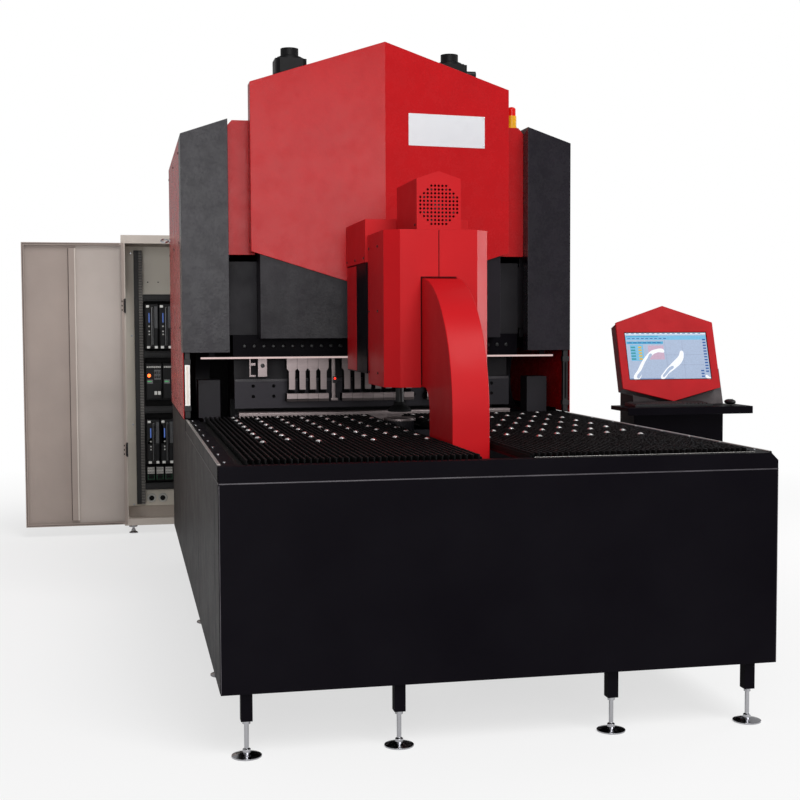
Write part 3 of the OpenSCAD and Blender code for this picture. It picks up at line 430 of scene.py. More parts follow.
SLOT_FINISHES: dict[str, Finish] = {
    "frame_paint": PowderCoat("satin grey frame paint", "#1d1b1f", "#262429", 0.5, 0.2),
    "charcoal_paint": PowderCoat("textured charcoal powder coat", "#17141b", "#1e1a22",
                                 0.28, 0.26, 10.0, 0.7, 160.0, 70.0, 0.05),
    "red_paint": PowderCoat("textured signal red powder coat", "#b61218", "#b01117",
                            0.27, 0.2, 10.0, 0.6, 180.0, 70.0, 0.05),
    "black_paint": PowderCoat("satin black powder coat", "#07050a", "#0c0a0f", 0.4, 0.034, 4.0, wipe=0.03),
    "tool_steel": GroundSteel("ground tool steel", "#a39796", "#7b7071", 0.38),
    "blade_steel": GroundSteel("blued blade steel", "#3c3a3e", "#2a292c", 0.42),
    "ball_steel": PolishedSteel("polished ball steel", "#f4f4f4", 0.26),
    "brush_fibre": BrushFibre("black nylon brush", "#030303", "#100e11"),
    "foot_chrome": PolishedSteel("chromed steel", "#b2b2b6", 0.15),
    "motor_black": Moulded("satin black motor paint", "#08080a", "#101013", 0.42, 0.22),
    "plastic_black": Moulded("black ABS", "#0e0e10", "#19191b", 0.5),
    "pad_rubber": Moulded("black clamp rubber", "#0f0f10", "#1a1a1b", 0.7, 0.25),
    "lamp_white": Lit("white lamp diffuser", "#efd3d0", 0.58, body=0.25),
    "bar_aluminium": GroundSteel("anodised aluminium", "#d9d6d2", "#bcb9b6", 0.42, Lay.Z),
    "beacon_yellow": Moulded("yellow beacon housing", "#e3a90a", "#d29805", 0.35),
    "beacon_red": Lit("red beacon lens", "#c8140e", 0.35, 0.15, body=0.8),
    "screen_glass": Lit("pale blue display", "#a9b9d3", 0.93, 0.2),
    "pebble_paint": PowderCoat("textured pebble grey paint", "#a5978f", "#9a8d86", 0.48, 0.25, 8.0, 0.3),
    "plate_paint": PowderCoat("satin beige plate paint", "#e8e2d6", "#ded8cc", 0.45, 0.25),
}
EXTRA_FINISHES: dict[str, Finish] = {
    "screw_black": Moulded("blackened screw steel", "#161618", "#252528", 0.36),
    "screw_zinc": PolishedSteel("zinc-plated screw steel", "#c2c4c8", 0.25),
    # Lighter grey that paints the highlight along lit edges.
    "edge_highlight_grey": PowderCoat("painted edge highlight", "#363338", "#4a464b", 0.35, 0.34, 5.0, 0.05, 90.0, 40.0),
    "charcoal_dull": PowderCoat("dull charcoal powder coat", "#1a171c", "#201c22",
                                0.36, 0.16, 10.0, 0.6, 160.0, 70.0, 0.05),
    "enamel_red": PowderCoat("smooth signal red enamel", "#bc1219", "#b71118",
                             0.38, 0.13, 2.5, 0.05, 260.0, 120.0, 0.03),
    "bezel_red": PowderCoat("satin signal red enamel", "#b4131b", "#a61118",
                            0.4, 0.12, 3.0, 0.06, 120.0, 60.0, 0.05),
    # Lighter grey for the charcoal console body: painted light.
    "console_lit_grey": PowderCoat("grey powder coat lightened as if lit", "#4d484a", "#5d5758",
                               0.55, 0.2, 3.5, 0.35, 60.0, 30.0, 0.1),
    # Lighter copy of the pebble paint: painted light on the door's right part.
    "pebble_lit_panel": PowderCoat("pebble grey paint lightened as if lit", "#b9aea7", "#ada29b", 0.45, 0.28, 8.0, 0.3),
    "gasket_grey": Moulded("grey foam gasket", "#6d625d", "#5d534f", 0.8, 0.15),
    # Lighter copy of the pebble paint: painted light.
    "pebble_painted_lit": PowderCoat("textured pebble paint lightened as if lit", "#cfc5bc", "#c4bab1", 0.5, 0.25, 4.0, 0.14),
    # Near-black for dark joints and gaskets, and for painted shade in recesses, holes and slots.
    "dark_seam_and_shade": Moulded("black mastic and painted shade", "#050506", "#09090a", 0.75, 0.1),
    "gloss_black": Moulded("glossy black ABS", "#0b0b0d", "#141417", 0.16, 0.55),
    "white_plate": PowderCoat("white enamelled plate", "#dfe1e4", "#d6d8dc", 0.3, 0.4, 2.0, 0.02),
    "window_pale": Moulded("frosted light-curtain window", "#e2d8cc", "#d6cbbf", 0.25),
    "display_band": Lit("display sky blue", "#74b8dd", 0.95, 0.2),
    "display_header": Lit("display cyan", "#3aa2cb", 0.95, 0.2),
    "display_pale": Lit("display ice blue", "#cfe0ee", 1.0, 0.12),
    "display_text": Lit("display blue", "#2b5a9c", 1.0, 0.12),
    "display_teal": Lit("display teal", "#2f8f9c", 1.0, 0.12),
    "display_line": Lit("display grid grey", "#8a93ad", 1.0, 0.12),
    "display_white": Lit("display white", "#f2f5fb", 1.0, 0.12),
    "display_pink": Lit("display pink", "#c3a7bd", 1.0, 0.12),
    "display_yellow": Lit("display yellow", "#d3b13e", 1.0, 0.12),
    "terminal_green": Moulded("green terminal plastic", "#1d5f3c", "#246b46", 0.45),
    "device_white": Moulded("white connector plastic", "#dcdcd8", "#cbcbc6", 0.45),
    "device_grey": Moulded("grey device plastic", "#77787a", "#66676a", 0.5),
    "duct_grey": Moulded("grey duct plastic", "#8b8884", "#75726f", 0.55),
    "device_blue": Lit("blue device display", "#5877c4", 0.8),
    "led_orange": Lit("orange indicator", "#ff5a26", 5.0),
    "led_red": Lit("red indicator", "#ff3020", 2.2),
    "led_green": Lit("green indicator", "#35e06a", 1.6),
}


class Finishes:
    """Keeps one material for each finish."""

    def __init__(self) -> None:
        """Starts with no material made."""
        self._made: dict[str, bpy.types.Material] = {}

    def get(self, key: str) -> bpy.types.Material:
        """Gives the material of a record slot or of an extra finish.

        Args:
            key: Slot name or extra finish name.

        Returns:
            The material, built on first use.
        """
        if key not in self._made:
            finish = SLOT_FINISHES.get(key) or EXTRA_FINISHES[key]
            self._made[key] = finish.build()
        return self._made[key]


def deselect() -> None:
    """Leaves edit mode and selects nothing."""
    if bpy.context.object and bpy.context.object.mode != "OBJECT":
        bpy.ops.object.mode_set(mode="OBJECT")
    bpy.ops.object.select_all(action="DESELECT")


def activate(piece: Piece) -> None:
    """Selects one piece alone and makes it the active one."""
    deselect()
    piece.select_set(True)
    bpy.context.view_layer.objects.active = piece


def apply_modifier(piece: Piece, kind: str, **settings) -> None:
    """Adds a modifier to a piece and applies it.

    Args:
        piece: Piece that is changed.
        kind: Type of the modifier.
        settings: Properties of the modifier.
    """
    activate(piece)
    modifier = piece.modifiers.new(kind.title(), kind)
    for key, value in settings.items():
        setattr(modifier, key, value)
    bpy.ops.object.modifier_apply(modifier=modifier.name)


def unpick(piece: Piece, kind: str) -> None:
    """Sets a piece's select mode to FACE or VERT with nothing selected."""
    activate(piece)
    bpy.ops.object.mode_set(mode="EDIT")
    bpy.ops.mesh.select_mode(type=kind)
    bpy.ops.mesh.select_all(action="DESELECT")
    bpy.ops.object.mode_set(mode="OBJECT")


def pick_faces(piece: Piece, test: Test) -> None:
    """Opens a piece in edit mode with only some of its faces selected.

    Args:
        piece: Piece that is opened.
        test: Says from a face's centre and normal whether it is selected.
    """
    unpick(piece, "FACE")
    for polygon in piece.data.polygons:
        polygon.select = test(polygon.center, polygon.normal)
    bpy.ops.object.mode_set(mode="EDIT")


def pick_vertices(piece: Piece, mask: Sequence[bool]) -> None:
    """Opens a piece in edit mode with only the vertices selected that a mask marks."""
    unpick(piece, "VERT")
    piece.data.vertices.foreach_set("select", mask)
    bpy.ops.object.mode_set(mode="EDIT")


def smooth(piece: Piece, angle: float = SHARP_ANGLE) -> None:
    """Shades a piece smooth below an angle and keeps its large flat faces flat."""
    activate(piece)
    bpy.ops.object.shade_smooth_by_angle(angle=math.radians(angle))
    apply_modifier(piece, "WEIGHTED_NORMAL", keep_sharp=True, weight=60)


def round_edges(piece: Piece, width: float, segments: int = 2, angle: float = SHARP_ANGLE) -> None:
    """Rounds the sharp edges of a piece and smooths its curved faces.

    Args:
        piece: Piece that is changed.
        width: Width of the rounding.
        segments: Facets across the rounding.
        angle: Edges sharper than this many degrees are rounded.
    """
    if width > 0:
        apply_modifier(piece, "BEVEL", width=width, segments=segments, limit_method="ANGLE",
                       angle_limit=math.radians(angle), use_clamp_overlap=True, harden_normals=False)
    smooth(piece, angle)


def settle(piece: Piece) -> Piece:
    """Applies a piece's place, turn and size to its mesh."""
    activate(piece)
    bpy.ops.object.transform_apply(location=True, rotation=True, scale=True)
    return piece


def box(name: str, low: Sequence[float], high: Sequence[float], edge: float = 0.0,
        segments: int = 2) -> Piece:
    """Models a block with rounded edges.

    Args:
        name: Name of the piece.
        low: Lowest corner.
        high: Highest corner.
        edge: Width of the edge rounding.
        segments: Facets across the rounding.

    Returns:
        The new piece.
    """
    deselect()
    centre = [(a + b) / 2 for a, b in zip(low, high)]
    size = [b - a for a, b in zip(low, high)]
    bpy.ops.mesh.primitive_cube_add(size=1.0, location=centre, scale=size)
    piece = bpy.context.object
    piece.name = name
    settle(piece)
    round_edges(piece, edge, segments)
    return piece


def pair(name: str, low: Place, high: Place, edge: float = 0.0) -> list[Piece]:
    """Models a block on the right of the centre plane and its twin on the left.

    Args:
        name: Name of both.
        low: Lowest corner of the right one.
        high: Highest corner of the right one.
        edge: Width of the edge rounding.

    Returns:
        The left block and the right one.
    """
    return [box(name, (x0, *low[1:]), (x1, *high[1:]), edge)
            for x0, x1 in ((-high[0], -low[0]), (low[0], high[0]))]


def draw_down(piece: Piece, drop: float, half_w: float, front_y: float, back_y: float) -> None:
    """Extrudes the lowest face of a block downwards and fits it to a new outline.

    Args:
        piece: Block that stands astride the centre plane, in object mode.
        drop: Height of the new step.
        half_w: Half width of the new face.
        front_y: Front edge of the new face.
        back_y: Back edge of the new face.
    """
    floor = min(v.co.z for v in piece.data.vertices)
    corners = [v.co for v in piece.data.vertices if v.co.z < floor + 1e-5]
    wide, near, far = max(c.x for c in corners), min(c.y for c in corners), max(c.y for c in corners)
    pick_faces(piece, lambda centre, normal: normal.z < -0.9 and centre.z < floor + 1e-5)
    bpy.ops.mesh.extrude_region_move(TRANSFORM_OT_translate={"value": (0.0, 0.0, -drop)})
    bpy.ops.transform.resize(value=(half_w / wide, (back_y - front_y) / (far - near), 1.0),
                             center_override=(0.0, (near + far) / 2, floor - drop))
    bpy.ops.transform.translate(value=(0.0, (front_y + back_y - near - far) / 2, 0.0))
    bpy.ops.object.mode_set(mode="OBJECT")


def turned(name: str, profile: Sequence[tuple[float, float]], steps: int = 24, angle: float = 35.0) -> Piece:
    """Spins a profile of radius and height about the Z axis.

    Args:
        name: Name of the piece.
        profile: Points of radius and height, from the bottom to the top.
        steps: Facets round the axis.
        angle: Edges sharper than this many degrees stay sharp.

    Returns:
        The new piece, standing at the origin.
    """
    deselect()
    bpy.ops.mesh.primitive_plane_add(size=0.01)
    piece = bpy.context.object
    piece.name = name
    bpy.ops.object.mode_set(mode="EDIT")
    bpy.ops.mesh.select_mode(type="VERT")
    bpy.ops.mesh.select_all(action="SELECT")
    bpy.ops.mesh.merge(type="CENTER")
    bpy.ops.transform.translate(value=(profile[0][0], 0.0, profile[0][1]))
    for (r0, z0), (r1, z1) in zip(profile, profile[1:]):
        bpy.ops.mesh.extrude_region_move(TRANSFORM_OT_translate={"value": (r1 - r0, 0.0, z1 - z0)})
    bpy.ops.mesh.select_all(action="SELECT")
    bpy.ops.mesh.spin(steps=steps, angle=math.tau, center=(0, 0, 0), axis=(0, 0, 1))
    bpy.ops.mesh.select_all(action="SELECT")
    bpy.ops.mesh.remove_doubles(threshold=1e-6)
    bpy.ops.mesh.normals_make_consistent(inside=False)
    bpy.ops.object.mode_set(mode="OBJECT")
    bpy.ops.object.shade_smooth_by_angle(angle=math.radians(angle))
    return piece


def join(name: str, pieces: Iterable[Piece]) -> Piece:
    """Joins pieces into one with its place in its mesh.

    Args:
        name: Name of the joined piece.
        pieces: Pieces that are joined.

    Returns:
        The joined piece.
    """
    parts = list(pieces)
    deselect()
    for part in parts:
        part.select_set(True)
    bpy.context.view_layer.objects.active = parts[0]
    if len(parts) > 1:
        bpy.ops.object.join()
    joined = bpy.context.view_layer.objects.active
    joined.name = name
    return settle(joined)


def duplicate(piece: Piece) -> Piece:
    """Copies a piece in place."""
    activate(piece)
    bpy.ops.object.duplicate()
    return bpy.context.object


def copies(name: str, master: Piece, places: Sequence[tuple[Place, Place]]) -> Piece:
    """Copies a piece to places and joins the copies.

    Args:
        name: Name of the joined piece.
        master: Piece modelled at the origin along +Z; it is used up.
        places: Pairs of a point and the direction that the piece's +Z takes there.

    Returns:
        The joined piece.
    """
    made = []
    for point, direction in places:
        copy = duplicate(master)
        if tuple(direction) != UP:
            copy.rotation_mode = "QUATERNION"
            copy.rotation_quaternion = Vector(direction).to_track_quat("Z", "Y")
        copy.location = point
        made.append(copy)
    bpy.data.objects.remove(master)
    return join(name, made)


def spread(piece: Piece, count: int, step: Place) -> Piece:
    """Repeats a piece in a row.

    Args:
        piece: First piece of the row.
        count: Number of pieces.
        step: Step from one to the next.

    Returns:
        The row as one piece.
    """
    apply_modifier(piece, "ARRAY", count=count, use_relative_offset=False, use_constant_offset=True,
                   constant_offset_displace=step)
    return piece


def button_screw(radius: float, height: float) -> Piece:
    """Models a button-head screw with a hexagon socket, head up at the origin.

    Args:
        radius: Radius of the head.
        height: Height of the head.

    Returns:
        The screw.
    """
    deselect()
    bpy.ops.mesh.primitive_cylinder_add(vertices=12, radius=radius, depth=height,
                                        location=(0, 0, height / 2))
    screw = bpy.context.object
    settle(screw)
    pick_faces(screw, lambda centre, normal: normal.z > 0.9)
    bpy.ops.mesh.inset(thickness=radius * 0.28)
    bpy.ops.transform.translate(value=(0, 0, height * 0.35))
    bpy.ops.mesh.inset(thickness=radius * 0.22)
    bpy.ops.mesh.extrude_region_move(TRANSFORM_OT_translate={"value": (0, 0, -height * 0.7)})
    bpy.ops.object.mode_set(mode="OBJECT")
    bpy.ops.object.shade_smooth_by_angle(angle=math.radians(40))
    return screw


@dataclass
class SubAssembly:
    """A part of the machine whose solids are rounded and dressed.

    Attributes:
        finishes: Store of the materials.
    """

    finishes: Finishes

    def dress(self, piece: Piece, body: str, finish: str, slot: str, *nodes: str) -> Piece:
        """Gives a piece its finish, its body and the solids that it stands for.

        Args:
            piece: New piece.
            body: Body that it moves with.
            finish: Key of its finish.
            slot: Record slot that its finish belongs to; not used.
            nodes: Solids that it replaces.

        Returns:
            The piece.
        """
        piece.data.materials.clear()
        piece.data.materials.append(self.finishes.get(finish))
        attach(piece, body)
        if nodes:
            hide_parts(*nodes)
        LOG.info("%s: %d faces on %s", piece.name, len(piece.data.polygons), body)
        return piece

    def soften(self, node: str, width_mm: float, segments: int = 2, finish: Optional[str] = None,
               angle: float = SHARP_ANGLE) -> Piece:
        """Replaces a solid by a copy with rounded edges.

        Args:
            node: Name of the solid.
            width_mm: Width of the rounding.
            segments: Facets across the rounding.
            finish: Key of the finish; the solid's own slot if left out.
            angle: Folds sharper than this are rounded, in degrees.

        Returns:
            The rounded piece.
        """
        piece = bpy.data.objects.new(f"{node}_shape", frame["nodes"][node].data.copy())
        bpy.context.scene.collection.objects.link(piece)
        activate(piece)
        if piece.data.has_custom_normals:
            bpy.ops.mesh.customdata_custom_splitnormals_clear()
        bpy.ops.object.mode_set(mode="EDIT")
        bpy.ops.mesh.select_all(action="SELECT")
        bpy.ops.mesh.remove_doubles(threshold=2e-6)
        bpy.ops.mesh.dissolve_limited(angle_limit=math.radians(0.6))
        bpy.ops.object.mode_set(mode="OBJECT")
        round_edges(piece, width_mm * MM, segments, angle)
        slot = NODE_SLOT[node]
        return self.dress(piece, NODE_BODY[node], finish or slot, slot, node)

    def unite(self, name: str, parts: Iterable[Piece], finish: str, slot: str, body: str = "machine") -> Piece:
        """Joins pieces and dresses them as one that replaces no solid."""
        return self.dress(join(name, parts), body, finish, slot)

    def scatter(self, name: str, master: Piece, places: Sequence[tuple[Place, Place]], finish: str, slot: str,
                body: str = "machine") -> Piece:
        """Copies a piece to places and dresses the copies as one that replaces no solid."""
        return self.dress(copies(name, master, places), body, finish, slot)

    def paint(self, piece: Piece, finish: str, test: Test) -> None:
        """Gives some faces of a piece another finish.

        Args:
            piece: Piece that is painted.
            finish: Key of the finish.
            test: Says from a face's centre and normal whether it is painted.
        """
        piece.data.materials.append(self.finishes.get(finish))
        number = len(piece.data.materials) - 1
        for polygon in piece.data.polygons:
            if test(polygon.center, polygon.normal):
                polygon.material_index = number

    def soften_all(self, widths_mm: dict[str, float], segments: int = 2, finish: Optional[str] = None) -> None:
        """Softens several solids, each with a rounding of its own width."""
        for node, width_mm in widths_mm.items():
            self.soften(node, width_mm, segments, finish)

    def coat(self, *nodes: str) -> None:
        """Gives solids that stay as they are the finish of their slot."""
        for node in nodes:
            solid = frame["nodes"][node]
            solid.data.materials.clear()
            solid.data.materials.append(self.finishes.get(NODE_SLOT[node]))
            activate(solid)
            bpy.ops.object.shade_smooth_by_angle(angle=math.radians(30))


@dataclass
class Studio:
    """Camera, floor and soft light.

    Attributes:
        eye: Place of the camera.
        yaw: Turn of the view to the right, in degrees.
        pitch: Tilt of the view downwards, in degrees.
        roll: Turn about the view axis, in degrees.
        lens: Focal length in millimetres on a 36 mm sensor.
        sky: Strength of the room's light on matt surfaces.
        gloss_share: Share of the white background that gloss and metal see.
        sun_from: Direction that the wide overhead light comes from.
        sun_strength: Strength of the wide overhead light.
        sun_spread: Angle over which the overhead light spreads, in degrees.
        floor_share: Share of plain white in the floor near the object and far from it.
        floor_fade: Distances from the middle between which that share changes.
        softboxes: Name, place, target, size and power of each soft light.
    """

    eye: Place = (-1.3221, -6.8445, 1.4667)
    yaw: float = 11.918
    pitch: float = 3.23
    roll: float = -0.2251
    lens: float = 59.37
    sky: float = 0.27
    gloss_share: float = 0.15
    sun_from: Place = (0.27, -0.58, 0.77)
    sun_strength: float = 1.8
    sun_spread: float = 35.0
    floor_share: tuple[float, float] = (0.66, 1.0)
    floor_fade: tuple[float, float] = (3.2, 7.5)
    softboxes: tuple[tuple[str, Place, Place, tuple[float, float], float], ...] = (
        ("front softbox", (-1.4, -9.5, 2.8), (-0.2, 0.0, 1.5), (6.0, 3.7), 310.0),
        ("side softbox", (6.0, 0.2, 1.7), (0.2, -1.3, 1.5), (2.4, 2.4), 110.0))

    def build(self) -> None:
        """Builds the whole studio."""
        bpy.context.scene.view_settings.view_transform = "Standard"
        self.build_camera()
        self.build_floor()
        self.build_world()
        for softbox in self.softboxes:
            self.build_softbox(*softbox)
        self.build_sun()

    def build_camera(self) -> None:
        """Sets the camera at the fitted viewpoint."""
        data = bpy.data.cameras.new("camera")
        data.lens = self.lens
        data.sensor_width = 36.0
        camera = bpy.data.objects.new("camera", data)
        turn = Matrix.Rotation(math.radians(-self.yaw), 4, "Z")
        tilt = Matrix.Rotation(math.radians(90.0 - self.pitch), 4, "X")
        spin = Matrix.Rotation(math.radians(self.roll), 4, "Z")
        camera.matrix_world = Matrix.Translation(self.eye) @ turn @ tilt @ spin
        bpy.context.scene.collection.objects.link(camera)
        bpy.context.scene.camera = camera

    def white_share(self, tree: Tree) -> Socket:
        """Gives 1 for what camera and glass see, a part of it for gloss, and 0 for light on matt surfaces."""
        path = add(tree, "ShaderNodeLightPath").outputs
        seen = combine(tree, "MAXIMUM", path["Is Camera Ray"], path["Is Transmission Ray"])
        gloss = combine(tree, "MULTIPLY", path["Is Glossy Ray"], self.gloss_share)
        return combine(tree, "MAXIMUM", seen, gloss)

    def build_floor(self) -> None:
        """Lays a pale floor that keeps the shadow and runs out into the white background."""
        deselect()
        bpy.ops.mesh.primitive_plane_add(size=80.0, location=(0.0, 0.0, -0.0005))
        floor = settle(bpy.context.object)
        floor.name = "floor"
        material, tree, shader = new_material("pale floor")
        feed(tree, shader, {"Base Color": linear("#f4f4f4"), "Roughness": 0.9})
        spot = add(tree, "ShaderNodeTexCoord").outputs["Object"]
        reach = add(tree, "ShaderNodeVectorMath", {0: spot}, operation="LENGTH")
        fade = ramp(tree, reach.outputs["Value"], *self.floor_fade, *self.floor_share)
        share = combine(tree, "MULTIPLY", self.white_share(tree), fade)
        glow = add(tree, "ShaderNodeEmission", {"Color": (1.0, 1.0, 1.0, 1.0), "Strength": 1.0})
        mix = add(tree, "ShaderNodeMixShader", {0: share, 1: shader.outputs[0], 2: glow.outputs[0]})
        tree.links.new(mix.outputs[0], tree.nodes["Material Output"].inputs["Surface"])
        floor.data.materials.append(material)

    def build_world(self) -> None:
        """Makes a grey room for the light and a white one for what the camera, metal and glass see."""
        world = bpy.data.worlds.new("room")
        bpy.context.scene.world = world
        world.use_nodes = True
        tree = world.node_tree
        room = tree.nodes["Background"]
        feed(tree, room, {"Color": (1.0, 1.0, 1.0, 1.0), "Strength": self.sky})
        white = add(tree, "ShaderNodeBackground", {"Color": (1.0, 1.0, 1.0, 1.0), "Strength": 1.0})
        mix = add(tree, "ShaderNodeMixShader", {
            0: self.white_share(tree), 1: room.outputs[0], 2: white.outputs[0]})
        tree.links.new(mix.outputs[0], tree.nodes["World Output"].inputs["Surface"])

    def build_softbox(self, name: str, place: Place, target: Place, size: tuple[float, float],
                      power: float) -> None:
        """Hangs an oblong soft light.

        Args:
            name: Name of the light.
            place: Where it hangs.
            target: Point that it faces.
            size: Width and height.
            power: Power in watts.
        """
        data = bpy.data.lights.new(name, "AREA")
        data.shape = "RECTANGLE"
        data.size, data.size_y = size
        data.energy = power
        light = bpy.data.objects.new(name, data)
        light.location = place
        light.rotation_mode = "QUATERNION"
        light.rotation_quaternion = (Vector(target) - Vector(place)).to_track_quat("-Z", "Y")
        bpy.context.scene.collection.objects.link(light)

    def build_sun(self) -> None:
        """Adds the wide overhead light."""
        data = bpy.data.lights.new("wide overhead light", "SUN")
        data.energy = self.sun_strength
        data.angle = math.radians(self.sun_spread)
        light = bpy.data.objects.new("wide overhead light", data)
        light.rotation_mode = "QUATERNION"
        light.rotation_quaternion = (-Vector(self.sun_from)).to_track_quat("-Z", "Y")
        bpy.context.scene.collection.objects.link(light)


@dataclass
class Worktable(SubAssembly):
    """Table with skirts, rails, brush fields and ball transfers.

    Attributes:
        half_w: Half width.
        front_y: Front face.
        back_y: Back edge.
        body_back: Back of the skirts.
        rim_z: Top of the rim.
        skirt_z: Lower and upper edge of the skirts.
        deck_z: Top of the decks.
        flange: Width of the fascia's top flange.
        ball_r: Radius of a ball.
        ball_first: Place of the first ball from the centre line and the bending line.
        ball_pitch: Spacing of the balls across and along.
        ball_grid: Columns, and balls in a full column.
        rib_first: Middle of the first brush rib from the centre line.
        rib_count: Number of ribs on a deck.
        tuft_pitch: Spacing of the ribs, and of the tufts along a rib.
        tuft_h: Height of a tuft.
        tuft_r: Radius of a tuft at its root and at its tip.
        brush_y: Front and back end of the brush.
        brush_x: Inner and outer side of the brush.
        wiper_x: Inner and outer side of the slot's wiper strips.
        seams_y: Places of the upright joints of the side skirts.
    """

    half_w: float = 1.013
    front_y: float = -2.45
    back_y: float = -0.19
    body_back: float = 1.45
    rim_z: float = 1.0
    skirt_z: tuple[float, float] = (0.227, 0.942)
    deck_z: float = 0.986
    flange: float = 0.05
    ball_r: float = 0.015
    ball_first: tuple[float, float] = (0.125, -0.300)
    ball_pitch: tuple[float, float] = (0.110, 0.200)
    ball_grid: tuple[int, int] = (7, 8)
    rib_first: float = 0.0995
    rib_count: int = 38
    tuft_pitch: tuple[float, float] = (0.022, 0.0096)
    tuft_h: float = 0.0285
    tuft_r: tuple[float, float] = (0.0030, 0.0044)
    brush_y: tuple[float, float] = (-2.390, -0.205)
    brush_x: tuple[float, float] = (0.095, 0.940)
    wiper_x: tuple[float, float] = (0.0882, 0.0945)
    seams_y: tuple[float, ...] = (-2.250, -1.240, -0.190, 0.510)

    def build(self) -> None:
        """Builds and dresses the table."""
        self.soften_all({"front_fascia": 2.0, "front_skirt": 1.2, "side_rails": 1.6, "side_skirts": 1.2,
                         "table_frames": 2.5, "levelling_feet": 0.8, "travel_rails": 1.0})
        self.coat("deck_left", "deck_right", "balls_left", "balls_right")
        for side, name in ((-1, "left"), (1, "right")):
            self.build_brush(side, name)
            self.build_cup_rims(side, name)
            self.build_slot_edge(side, name)
        self.build_skirt_panels()
        self.build_trim()
        self.build_rim_screws()

    def ball_places(self, side: int) -> list[tuple[float, float]]:
        """Gives the places of the balls on one deck."""
        columns, rows = self.ball_grid
        return [(side * (self.ball_first[0] + c * self.ball_pitch[0]),
                 self.ball_first[1] - (i + (c % 2) / 2) * self.ball_pitch[1])
                for c in range(columns) for i in range(rows - c % 2)]

    def build_brush(self, side: int, name: str) -> None:
        """Plants the brush tufts of one deck, leaving the balls clear."""
        (y0, y1), height, (root_r, tip_r) = self.brush_y, self.tuft_h, self.tuft_r
        deselect()
        bpy.ops.mesh.primitive_cone_add(vertices=6, radius1=root_r, radius2=tip_r, depth=height,
                                        location=(side * self.rib_first, y0, self.deck_z + height / 2),
                                        end_fill_type="NGON", scale=(1.0, 1.18, 1.0))
        brush = settle(bpy.context.object)
        pick_faces(brush, lambda centre, normal: normal.z < -0.9)
        bpy.ops.mesh.delete(type="ONLY_FACE")
        bpy.ops.object.mode_set(mode="OBJECT")
        tips = brush.vertex_groups.new(name="tips")
        middle = self.deck_z + height / 2
        tips.add([v.index for v in brush.data.vertices if v.co.z > middle], 1.0, "REPLACE")
        step_x, step_y = self.tuft_pitch
        spread(brush, int((y1 - y0) / step_y) + 1, (0.0, step_y, 0.0))
        spread(brush, self.rib_count, (side * step_x, 0.0, 0.0))
        ruffle = bpy.data.textures.new(f"ruffle_{name}", "CLOUDS")
        ruffle.noise_scale = 0.014
        for axis, strength in (("X", 0.0042), ("Y", 0.0042), ("Z", 0.0030)):
            apply_modifier(brush, "DISPLACE", texture=ruffle, texture_coords="LOCAL", direction=axis,
                           strength=strength, mid_level=0.5, vertex_group="tips")
        self.clear_balls(brush, side)
        bpy.ops.object.shade_smooth_by_angle(angle=math.radians(70))
        xs = sorted(side * x for x in self.brush_x)
        mat = box("mat", (xs[0], y0 - 0.005, self.deck_z), (xs[1], y1 + 0.005, self.deck_z + 0.0022),
                  0.0006)
        self.dress(join(f"brush_field_{name}", [brush, mat]), "machine", "brush_fibre", "brush_fibre",
                   f"brush_{name}")

    def clear_balls(self, brush: Piece, side: int) -> None:
        """Deletes the tufts that stand on the balls."""
        co = np.empty(len(brush.data.vertices) * 3)
        brush.data.vertices.foreach_get("co", co)
        flat = co.reshape(-1, 3)[:, :2]
        hit = np.zeros(len(flat), bool)
        for place in self.ball_places(side):
            hit |= np.hypot(*(flat - np.array(place)).T) < self.ball_r - 0.0035
        pick_vertices(brush, hit)
        bpy.ops.mesh.select_linked()
        bpy.ops.mesh.delete(type="VERT")
        bpy.ops.object.mode_set(mode="OBJECT")

    def build_cup_rims(self, side: int, name: str) -> None:
        """Rolls a dark rim on each ball cup."""
        top = self.deck_z + 0.0265
        rim = turned("rim", [(0.0134, top - 0.0025), (0.0133, top + 0.0002), (0.0148, top + 0.0010),
                             (0.0185, top - 0.0008), (0.0204, top - 0.0045)], 16)
        places = [((x, y, 0.0), UP) for x, y in self.ball_places(side)]
        self.scatter(f"cup_rims_{name}", rim, places, "screw_black", "black_paint")

    def build_slot_edge(self, side: int, name: str) -> None:
        """Lays a dull black wiper strip along one edge of the slot."""
        x0, x1 = sorted(side * x for x in self.wiper_x)
        strip = box(f"slot_edge_{name}", (x0, self.front_y + 0.056, self.deck_z),
                    (x1, self.back_y - 0.012, self.rim_z + 0.006), 0.0012)
        self.dress(strip, "machine", "dark_seam_and_shade", "tool_steel")

    def build_skirt_panels(self) -> None:
        """Lays sheets with narrow joints onto the side skirts."""
        gap, proud, margin = 0.003, 0.0016, 0.004
        ends = [self.front_y + margin, *self.seams_y, self.body_back - margin]
        face, low = self.half_w, self.skirt_z[0] + margin
        sheets, joints = [], []
        for y in self.seams_y:
            joints += pair("joint", (face, y - gap, low), (face + proud / 4, y + gap, self.skirt_top(y) - margin))
        for y0, y1 in zip(ends, ends[1:]):
            sheets += pair("sheet", (face, y0 + gap, low), (face + proud, y1 - gap, self.skirt_top(y1) - margin),
                           0.0008)
        self.unite("skirt_panels", sheets, "black_paint", "black_paint")
        self.unite("skirt_joints", joints, "dark_seam_and_shade", "black_paint")

    def skirt_top(self, y: float) -> float:
        """Gives the upper edge of a side skirt, which is higher beside the press."""
        return self.skirt_z[1] if y <= self.back_y else self.rim_z

